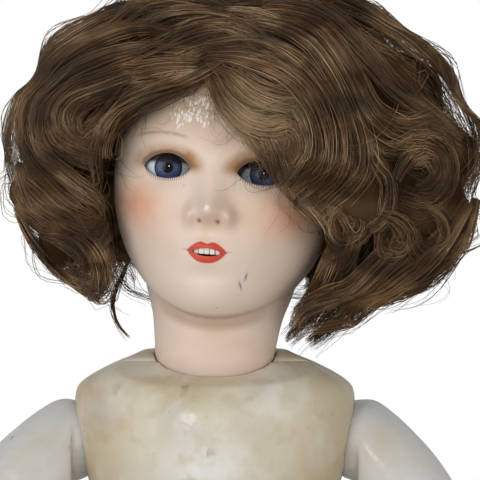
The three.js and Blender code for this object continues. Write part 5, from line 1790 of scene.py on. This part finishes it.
@dataclass
class Torso:
    """The torso's two pressed halves."""

    wall: float = 3.4
    squareness: float = 2.35
    seam_y: float = -8.0
    seam_gap: float = 0.3
    neckline_lean: float = 22.0
    side_drop: float = 1.5
    back_drop: float = 1.0
    neckline_ease: float = 1.0
    neck_ball: float = 26.3
    neck_hole: float = 9.0
    shoulder_ball: float = 18.0
    hip_ball: float = 23.0
    crotch_half: float = 5.4
    gap: float = 0.35
    top: float = 176.0
    inner_top: float = 172.0
    arm_cord_way: float = 3.5
    leg_cord_way: float = 4.0
    cord_reach: float = 40.0
    widths: Profile = ((0, 41), (4, 45.5), (14, 50), (34, 53), (62, 51), (90, 50), (112, 56.5), (132, 60.6),
                       (143, 61), (150, 58.4), (157.5, 46), (164, 31), (169, 26), (176, 23))
    fronts: Profile = ((0, 24), (6, 30), (18, 37), (40, 43), (62, 43), (90, 38), (118, 40), (140, 38),
                       (152, 33), (162, 29), (176, 26))
    backs: Profile = ((0, 37), (6, 40), (20, 43), (40, 41), (66, 33), (90, 30), (118, 35), (140, 36),
                      (152, 34), (162, 31), (176, 27))

    def __post_init__(self) -> None:
        """Takes the pivots from the joints."""
        self.neck = hinge("head_turn")[0] / MM
        self.shoulders = [hinge(f"{side.word}_shoulder_swing")[0] / MM for side in Side]
        self.hips = [hinge(f"{side.word}_hip_swing")[0] / MM for side in Side]

    def form(self, name: str, inset: float, low: float, high: float) -> Clay:
        """The torso's outer or inner form.

        Args:
            name: Its name.
            inset: How far inside the outer skin it lies.
            low: Its lowest level.
            high: Its highest level.

        Returns:
            The closed form.
        """
        tables = [np.array(through(table, 160)).T for table in (self.widths, self.fronts, self.backs)]
        levels = np.linspace(low, high, 90)
        form = Clay(name, turned([(1.0, float(z)) for z in levels], 144))

        def shaped(p: Vector) -> Vector:
            """Puts a corner of the unit tube on the torso.

            Args:
                p: The corner.

            Returns:
                Its new place.
            """
            reach = math.hypot(p.x, p.y)
            if reach < 1e-6:
                return p
            width, front, back = (float(np.interp(p.z, *table)) - inset for table in tables)
            depth = front if p.y < 0 else back
            power = 2 / self.squareness
            x = math.copysign(abs(p.x / reach) ** power * width, p.x)
            y = math.copysign(abs(p.y / reach) ** power * depth, p.y)
            return Vector((x, y, p.z))

        return form.warp(shaped)

    def leg_room(self, hip: Vector, grow: float) -> Clay:
        """Room for a thigh: round behind and above, open forward and down.

        Args:
            hip: Middle of the thigh's ball.
            grow: How far it is grown on every side.

        Returns:
            The clay, in its own frame.
        """
        radius = self.hip_ball + self.gap + grow
        inner = self.crotch_half - grow
        ends = sorted((math.copysign(inner, hip.x), math.copysign(FAR, hip.x)))
        bm = block((ends[0], hip.y - FAR, hip.z - FAR), (ends[1], hip.y + radius, hip.z + radius))
        corner = [e for e in bm.edges if all(v.co.y > hip.y and v.co.z > hip.z for v in e.verts)]
        return Clay("leg_room", bevelled(bm, corner, radius - 0.01, 20))

    def above(self, drop: float, lean: float) -> Clay:
        """Everything above a leaning level.

        Args:
            drop: How far it lies below the middle of the neck's ball.
            lean: How far it leans forward, in degrees.

        Returns:
            A large block.
        """
        over = Clay("above", block((-FAR, -FAR, 0), (FAR, FAR, FAR)))
        return over.turn(Matrix.Translation(self.neck - Vector((0, 0, drop))) @ tilt(lean))

    def shell(self) -> Clay:
        """The hollow torso with its sockets.

        Returns:
            The clay, in its own frame.
        """
        inner = self.form("inside", self.wall, self.wall, self.inner_top)
        inner.cut(*(ball(self.shoulder_ball + self.wall, s) for s in self.shoulders),
                  *(self.leg_room(h, self.wall) for h in self.hips),
                  ball(self.neck_ball + self.wall, self.neck),
                  self.above(self.side_drop + self.wall, self.neckline_lean),
                  self.above(self.back_drop + self.wall, 0))
        brim = self.neck_ball + self.gap
        flare = [(brim * 0.94, -8), (brim + self.neckline_ease, 0), (brim + self.neckline_ease + 2, 16)]
        cuts = [inner, self.above(self.side_drop, self.neckline_lean), self.above(self.back_drop, 0)]
        cuts.append(Clay("flare", turned(flare)).turn(Matrix.Translation(self.neck)))
        cuts.append(ball(brim, self.neck, 72))
        reach = Vector((0, 0, self.cord_reach))
        cuts.append(bar(self.neck_hole, self.neck, self.neck - reach))
        cuts.append(bar(self.arm_cord_way, *self.shoulders))
        for shoulder, hip in zip(self.shoulders, self.hips):
            cuts.append(ball(self.shoulder_ball + self.gap, shoulder, 64))
            cuts.append(self.leg_room(hip, 0))
            cuts.append(bar(self.leg_cord_way, hip, hip + reach))
        return self.form("outside", 0, 0, self.top).cut(*cuts)

    def build(self) -> None:
        """Builds both halves and dresses them."""
        varnish = BodyVarnish("torso_varnish", rubbed=1.0).material()
        halves = {"torso_front": (-FAR, self.seam_y - self.seam_gap / 2),
                  "torso_back": (self.seam_y + self.seam_gap / 2, FAR)}
        for node, (start, end) in halves.items():
            half = self.shell().keep(block((-FAR, start, -FAR), (FAR, end, FAR)))
            half.soften(1.3, 6)
            half.object.name = f"varnished_{node}"
            half.finish(Matrix.Scale(MM, 4), "torso", "body", varnish, [node])


@dataclass
class Limb:
    """What an arm and a leg have in common."""

    side: Side
    gap: float = 0.35
    bore: float = 4.0

    def rim(self, ball_radius: float, height: float, edge: float) -> float:
        """Outer radius of the rim of a ball's cup, at a height above the ball's middle."""
        return math.sqrt((ball_radius + self.gap) ** 2 - height**2) + edge

    def dress(self, clay: Clay, carried: Matrix, what: str, finish: bpy.types.Material) -> None:
        """Puts a varnished piece or a turned ball in the place of its CAD node.

        Args:
            clay: The piece.
            carried: From its frame to the doll's, in metres.
            what: The node's name without its side.
            finish: Its material.
        """
        word, turned_ball = self.side.word, what.endswith("_ball")
        look, slot, crease = ("turned", "wood", 35.0) if turned_ball else ("varnished", "limb", 180.0)
        clay.object.name = f"{word}_{look}_{what}"
        clay.finish(carried, f"{word}_{what}", slot, finish, [f"{word}_{what}"], crease)


@dataclass
class Arm(Limb):
    """One strung arm: upper arm, wooden elbow ball, forearm and hand."""

    shoulder_ball: float = 18.0
    side_gap: float = 0.8
    torso_half: float = 61.0
    upper_length: float = 72.0
    upper_radius: float = 21.0
    elbow_ball: float = 14.5
    elbow_rim: float = 9.5
    fore_length: float = 64.0
    fore_radius: float = 15.6
    wrist_ball: float = 8.0
    wrist_rim: float = 2.5
    palm: tuple[float, float, float] = (10.0, 23.0, 25.0)
    finger_length: float = 21.0
    finger_radius: float = 2.7
    finger_curl: float = 0.0075
    finger_shares: tuple[float, ...] = (0.84, 1.0, 0.94, 0.76)
    slot_reach: float = 20.0

    def __post_init__(self) -> None:
        """Takes the frames from the joints."""
        word = self.side.word
        self.shoulder = hinge(f"{word}_shoulder_swing")[0]
        elbow, bend = hinge(f"{word}_elbow_bend")
        wrist = hinge(f"{word}_wrist_turn")[0]
        self.spread = math.asin(abs((elbow - self.shoulder).normalized().x))
        self.at_shoulder = carrier(self.shoulder, bend, self.shoulder - elbow) @ self.side.mirror
        self.at_elbow = carrier(elbow, bend, elbow - wrist) @ self.side.mirror
        self.at_wrist = carrier(wrist, bend, elbow - wrist) @ self.side.mirror

    def upper_arm(self) -> Clay:
        """The upper arm: a ball at the shoulder and a flat inner side.

        Returns:
            The clay, in its own frame.
        """
        long, wide, ball_radius = self.upper_length, self.upper_radius, self.shoulder_ball
        low = self.elbow_rim - long
        end = self.rim(self.elbow_ball, self.elbow_rim, 1.2)
        points = [(end, low), (end + 2.6, low + 5), (wide - 2, -long * 0.64), (wide, -long * 0.38),
                  (wide * 0.96, -long * 0.16), (ball_radius, 2), (ball_radius * 0.82, 11),
                  (ball_radius * 0.4, 16.4)]
        lean = Matrix.Rotation(-self.spread, 4, "Y")
        limb = Clay("upper_arm", turned(through(points, 60))).turn(lean)
        flat = self.torso_half + self.side_gap - abs(self.shoulder.x) / MM
        limb.cut(block((-FAR, -FAR, -FAR), (flat, FAR, FAR)))
        limb.join(ball(ball_radius))
        limb.turn(lean.inverted())
        return limb.cut(ball(self.elbow_ball + self.gap, (0, 0, -long)),
                        bar(self.bore, (0, 0, -long), (0, 0, 0)))

    def forearm(self) -> Clay:
        """The forearm between the elbow's and the wrist's balls.

        Returns:
            The clay, in its own frame.
        """
        long, wide = self.fore_length, self.fore_radius
        top = self.rim(self.elbow_ball, self.elbow_rim, 1.2)
        end = self.rim(self.wrist_ball, self.wrist_rim, 1.1)
        points = [(end, self.wrist_rim - long), (end + 0.4, -long * 0.8), (wide * 0.86, -long * 0.55),
                  (wide, -long * 0.32), (top, -self.elbow_rim)]
        return Clay("forearm", turned(through(points, 48))).cut(
            ball(self.elbow_ball + self.gap),
            ball(self.wrist_ball + self.gap, (0, 0, -long)),
            bar(self.bore * 0.8, (0, 0, -long), (0, 0, 0)))

    def digit(self, length: float, girth: float, fan: float, root: Vector) -> bmesh.types.BMesh:
        """A finger that curls towards the palm.

        Args:
            length: Its length.
            girth: Factor on its radius.
            fan: How far it is spread, in radians.
            root: Where it starts.

        Returns:
            Its shape.
        """
        radius = self.finger_radius * girth
        points = [(radius * 0.5, -length), (radius * 0.86, -length + radius * 0.8),
                  (radius * 0.96, -length * 0.72), (radius * 0.92, -length * 0.6), (radius, -length * 0.4),
                  (radius, 0)]
        bm = turned(through(points, 20), 20)
        for v in bm.verts:
            v.co.x -= self.finger_curl * v.co.z * v.co.z
        place = Matrix.Translation(root) @ Matrix.Rotation(-fan, 4, "X")
        bmesh.ops.transform(bm, matrix=place, verts=bm.verts)
        return bm

    def hand(self) -> Clay:
        """The hand: ball, palm, four fingers and a thumb.

        Returns:
            The clay, in its own frame.
        """
        thick, wide, long = self.palm
        top = self.wrist_ball + 1
        palm = ball(1, segments=40)
        for v in palm.verts:
            down = (1 - v.co.z) / 2
            v.co = (v.co.x * thick / 2, v.co.y * wide / 2 * (0.72 + 0.28 * down), -top - down * long)
        wrist = bar(self.wrist_ball * 0.72, (0, 0, 0), (0, 0, -top - 4))
        shapes = [ball(self.wrist_ball, segments=40), wrist, palm]
        for i, share in enumerate(self.finger_shares):
            off = i - (len(self.finger_shares) - 1) / 2
            root = Vector((0, off * (wide - 3) / len(self.finger_shares), -top - long * 0.72))
            shapes.append(self.digit(self.finger_length * share + long * 0.3, 1, -0.07 * off, root))
        thumb = Vector((0, -wide * 0.32, -top - long * 0.3))
        shapes.append(self.digit(self.finger_length * 0.95, 1.08, math.radians(38), thumb))
        return Clay("hand", gathered(shapes))

    def build(self, limb: bpy.types.Material, wood: bpy.types.Material) -> None:
        """Builds the arm and dresses it.

        Args:
            limb: The limbs' finish.
            wood: The elbow ball's finish.
        """
        self.dress(self.upper_arm().soften(0.85, 6), self.at_shoulder, "upper_arm", limb)
        self.dress(self.forearm().soften(0.85, 6), self.at_elbow, "forearm", limb)
        self.dress(self.hand().soften(0.6, 5), self.at_wrist, "hand", limb)
        half, reach = self.bore, self.slot_reach
        swivel = Clay("elbow_ball", ball(self.elbow_ball)).cut(
            block((-half, -reach, -half), (half, half, reach)),
            bar(half * 0.8, (0, 0, 0), (0, 0, -reach)))
        self.dress(swivel, self.at_elbow, "elbow_ball", wood)


@dataclass
class Leg(Limb):
    """One strung leg: thigh, wooden knee ball, and lower leg with its foot."""

    hip_ball: float = 23.0
    thigh_length: float = 96.0
    knee_ball: float = 16.5
    knee_rim: float = 10.8
    shin_length: float = 86.0
    calf_radius: float = 17.4
    ankle_radius: float = 10.5
    foot: tuple[float, float, float] = (26.0, 60.0, 22.0)
    heel_back: float = 13.0
    slot: float = 8.0
    hip_slot_reach: float = 40.0
    knee_slot_reach: float = 22.0

    def __post_init__(self) -> None:
        """Takes the frames from the joints."""
        word = self.side.word
        hip = hinge(f"{word}_hip_swing")[0]
        knee, bend = hinge(f"{word}_knee_bend")
        along = hinge(f"{word}_shin_twist")[1] * self.side.value
        self.at_hip = carrier(hip, bend, hip - knee) @ self.side.mirror
        self.at_knee = carrier(knee, bend, along) @ self.side.mirror

    def thigh(self) -> Clay:
        """The thigh, with the ball that sits in the torso's groove.

        Returns:
            The clay, in its own frame.
        """
        long, wide = self.thigh_length, self.hip_ball
        low = self.knee_rim - long
        end = self.rim(self.knee_ball, self.knee_rim, 1.3)
        points = [(end, low), (end + 3, low + 6), (wide * 0.88, -long * 0.5), (wide * 0.985, -long * 0.2),
                  (wide * 0.985, 0)]
        limb = Clay("thigh", turned(through(points, 60))).join(ball(wide))
        half, reach = self.slot / 2, self.hip_slot_reach
        return limb.cut(ball(self.knee_ball + self.gap, (0, 0, -long)),
                        bar(self.bore, (0, 0, -long), (0, 0, 0)),
                        block((-half, -half, -half), (half, reach, reach)))

    def lower_leg(self) -> Clay:
        """The shin and calf, with a smooth bare foot.

        Returns:
            The clay, in its own frame.
        """
        shin, ankle, calf = self.shin_length, self.ankle_radius, self.calf_radius
        end = self.rim(self.knee_ball, self.knee_rim, 1.3)
        points = [(ankle * 0.9, -shin - 4), (ankle, -shin * 0.9), (calf * 0.86, -shin * 0.6),
                  (calf, -shin * 0.36), (end, -self.knee_rim)]
        wide, long, high = self.foot
        sole = -shin - high * 0.62
        foot = ball(1, segments=56)
        for v in foot.verts:
            ahead = (1 - v.co.y) / 2
            height = high * (1 - 0.55 * ahead**1.3)
            half = wide / 2 * (0.74 + 0.26 * smoothstep(ahead, 0.2, 0.8))
            lift = max(v.co.z, -0.55) + 0.55
            v.co = (v.co.x * half, self.heel_back - ahead * long, sole + lift / 1.55 * height)
        leg = Clay("lower_leg", turned(through(points, 60))).join(foot)
        return leg.cut(ball(self.knee_ball + self.gap),
                       bar(self.bore, (0, 0, -shin * 0.45), (0, 0, 0)))

    def build(self, limb: bpy.types.Material, wood: bpy.types.Material) -> None:
        """Builds the leg and dresses it.

        Args:
            limb: The limbs' finish.
            wood: The knee ball's finish.
        """
        self.dress(self.thigh().soften(1.0, 6), self.at_hip, "thigh", limb)
        self.dress(self.lower_leg().soften(0.9, 6), self.at_knee, "lower_leg", limb)
        half, reach = self.bore, self.knee_slot_reach
        swivel = Clay("knee_ball", ball(self.knee_ball)).cut(
            block((-half, -half, -half), (half, reach, reach)),
            bar(half, (0, 0, 0), (0, 0, -reach)))
        self.dress(swivel, self.at_knee, "knee_ball", wood)


def dress_inner_pieces() -> None:
    """Gives the CAD nodes that stay their own finishes."""
    finishes = {
        "elastic": PlainFinish("woven_elastic", (214, 205, 186), (168, 152, 124), 0.85, weave=0.9),
        "wire": PlainFinish("rusted_wire", (104, 98, 90), (120, 74, 46), 0.45, metal=0.85, grain_size=1.5),
        "lead": PlainFinish("cast_lead", (98, 99, 103), (150, 150, 152), 0.6, metal=0.7),
        "card": PlainFinish("pressed_card", (168, 142, 104), (136, 110, 76), 0.9, grain_size=2.0),
        "gauze": PlainFinish("stiff_gauze", (176, 156, 122), (112, 92, 62), 0.9, weave=1.1),
        "wood": PlainFinish("turned_wood", (190, 152, 104), (146, 106, 64), 0.6, grain=(1.0, 1.0, 0.15)),
    }
    made = {name: finish.material() for name, finish in finishes.items()}
    words = {"elastic": "elastic", "pin": "wire", "hook": "wire", "bridge": "wire", "weight": "lead",
             "pate": "card", "cap": "gauze", "button": "wood"}
    for name, node in frame["nodes"].items():
        kind = words.get(name.rsplit("_", 1)[-1])
        if kind:
            node.data.materials.clear()
            node.data.materials.append(made[kind])
            log.info("%s keeps its CAD shape in %s", name, made[kind].name)


def look_from(seer: bpy.types.Object, place: Vector, aim: Vector) -> None:
    """Puts a lamp or a camera in a place, facing a point."""
    seer.location = place
    seer.rotation_euler = (aim - place).to_track_quat("-Z", "Y").to_euler()


@dataclass(frozen=True)
class Lamp:
    """A square lamp: where it stands, its width, its power in watts and its colour."""

    name: str
    place: tuple[float, float, float]
    size: float
    power: float
    tint: Colour

    def build(self, aim: Vector) -> None:
        """Builds the lamp, facing a point.

        Args:
            aim: The point.
        """
        data = bpy.data.lights.new(self.name, "AREA")
        data.size = self.size
        data.energy = self.power
        data.color = linear(self.tint)[:3]
        look_from(placed(self.name, data), Vector(self.place), aim)


@dataclass
class Studio:
    """Floor, white surroundings, lamps and camera, in metres."""

    target: Vector = Vector((0.0109, -0.050, 0.2122))
    distance: float = 1.3
    elevation: float = 0.5
    field: float = 0.2016
    sensor: float = 36.0
    floor_radius: float = 0.5
    floor_centre: tuple[float, float, float] = (0, -0.06, -0.0005)
    lamp_aim: Vector = Vector((0, 0, 0.22))
    lamps: tuple[Lamp, ...] = (
        Lamp("window", (-0.95, -0.95, 0.4), 0.9, 6.0, (250, 250, 255)),
        Lamp("flash", (-0.18, -1.3, 0.45), 0.07, 2.3, (255, 250, 240)),
        Lamp("fill", (0.9, -1.0, 0.2), 0.9, 3.2, (255, 246, 236)),
    )

    def build_floor(self) -> None:
        """A round pale floor under the doll."""
        bm = bmesh.new()
        bmesh.ops.create_circle(bm, cap_ends=True, segments=96, radius=self.floor_radius,
                                matrix=Matrix.Translation(self.floor_centre))
        floor = placed("floor", mesh_of("floor", bm))
        paper = Paint("floor_paper", (236, 236, 234))
        paper.lay((228, 228, 226), paper.noise(60, 2))
        paper.gloss(0.8)
        floor.data.materials.append(paper.done())

    def build_surroundings(self) -> None:
        """White where the camera looks past the doll, and soft light elsewhere."""
        world = bpy.data.worlds.new("white_room")
        bpy.context.scene.world = world
        world.use_nodes = True
        tree = world.node_tree
        light = add_node(tree, "ShaderNodeBackground", {"Color": (0.93, 0.96, 1.0, 1), "Strength": 0.5})
        white = add_node(tree, "ShaderNodeBackground", {"Color": (1, 1, 1, 1), "Strength": 1.0})
        path = tree.nodes.new("ShaderNodeLightPath")
        seen = Field(tree, path.outputs["Is Camera Ray"])
        through_glass = Field(tree, path.outputs["Is Transmission Ray"])
        mix = add_node(tree, "ShaderNodeMixShader",
                       {0: seen.most(through_glass), 1: light.outputs[0], 2: white.outputs[0]})
        connect(tree, tree.nodes["World Output"].inputs["Surface"], mix.outputs[0])

    def build_camera(self) -> None:
        """A camera at the photograph's viewing angle."""
        data = bpy.data.cameras.new("camera")
        data.sensor_width = data.sensor_height = self.sensor
        data.lens = self.sensor * self.distance / self.field
        data.clip_start = 0.01
        rise = math.radians(self.elevation)
        camera = placed("camera", data)
        way = Vector((0, -math.cos(rise), math.sin(rise)))
        look_from(camera, self.target + self.distance * way, self.target)
        bpy.context.scene.camera = camera

    def build(self) -> None:
        """Sets up the whole studio."""
        bpy.context.scene.view_settings.view_transform = "Standard"
        self.build_floor()
        self.build_surroundings()
        for lamp in self.lamps:
            lamp.build(self.lamp_aim)
        self.build_camera()


def main() -> None:
    """Builds the studio and the doll's sub-assemblies in order."""
    logging.basicConfig(level=logging.INFO, format="%(name)s: %(message)s")
    Studio().build()
    head = Head()
    head.build()
    SleepEyes(head).build()
    Wig(head).build()
    Torso().build()
    limb = BodyVarnish("limb_varnish", ground=(208, 206, 200), pale=(222, 222, 220), stain=(194, 180, 146),
                       yellowing=0.5).material()
    wood = PlainFinish("painted_ball", (206, 188, 160), (176, 146, 106), 0.5, grain=(1.0, 1.0, 0.2),
                       coat=0.3).material()
    for side in Side:
        Arm(side).build(limb, wood)
        Leg(side).build(limb, wood)
    dress_inner_pieces()


if __name__ == "__main__":
    main()
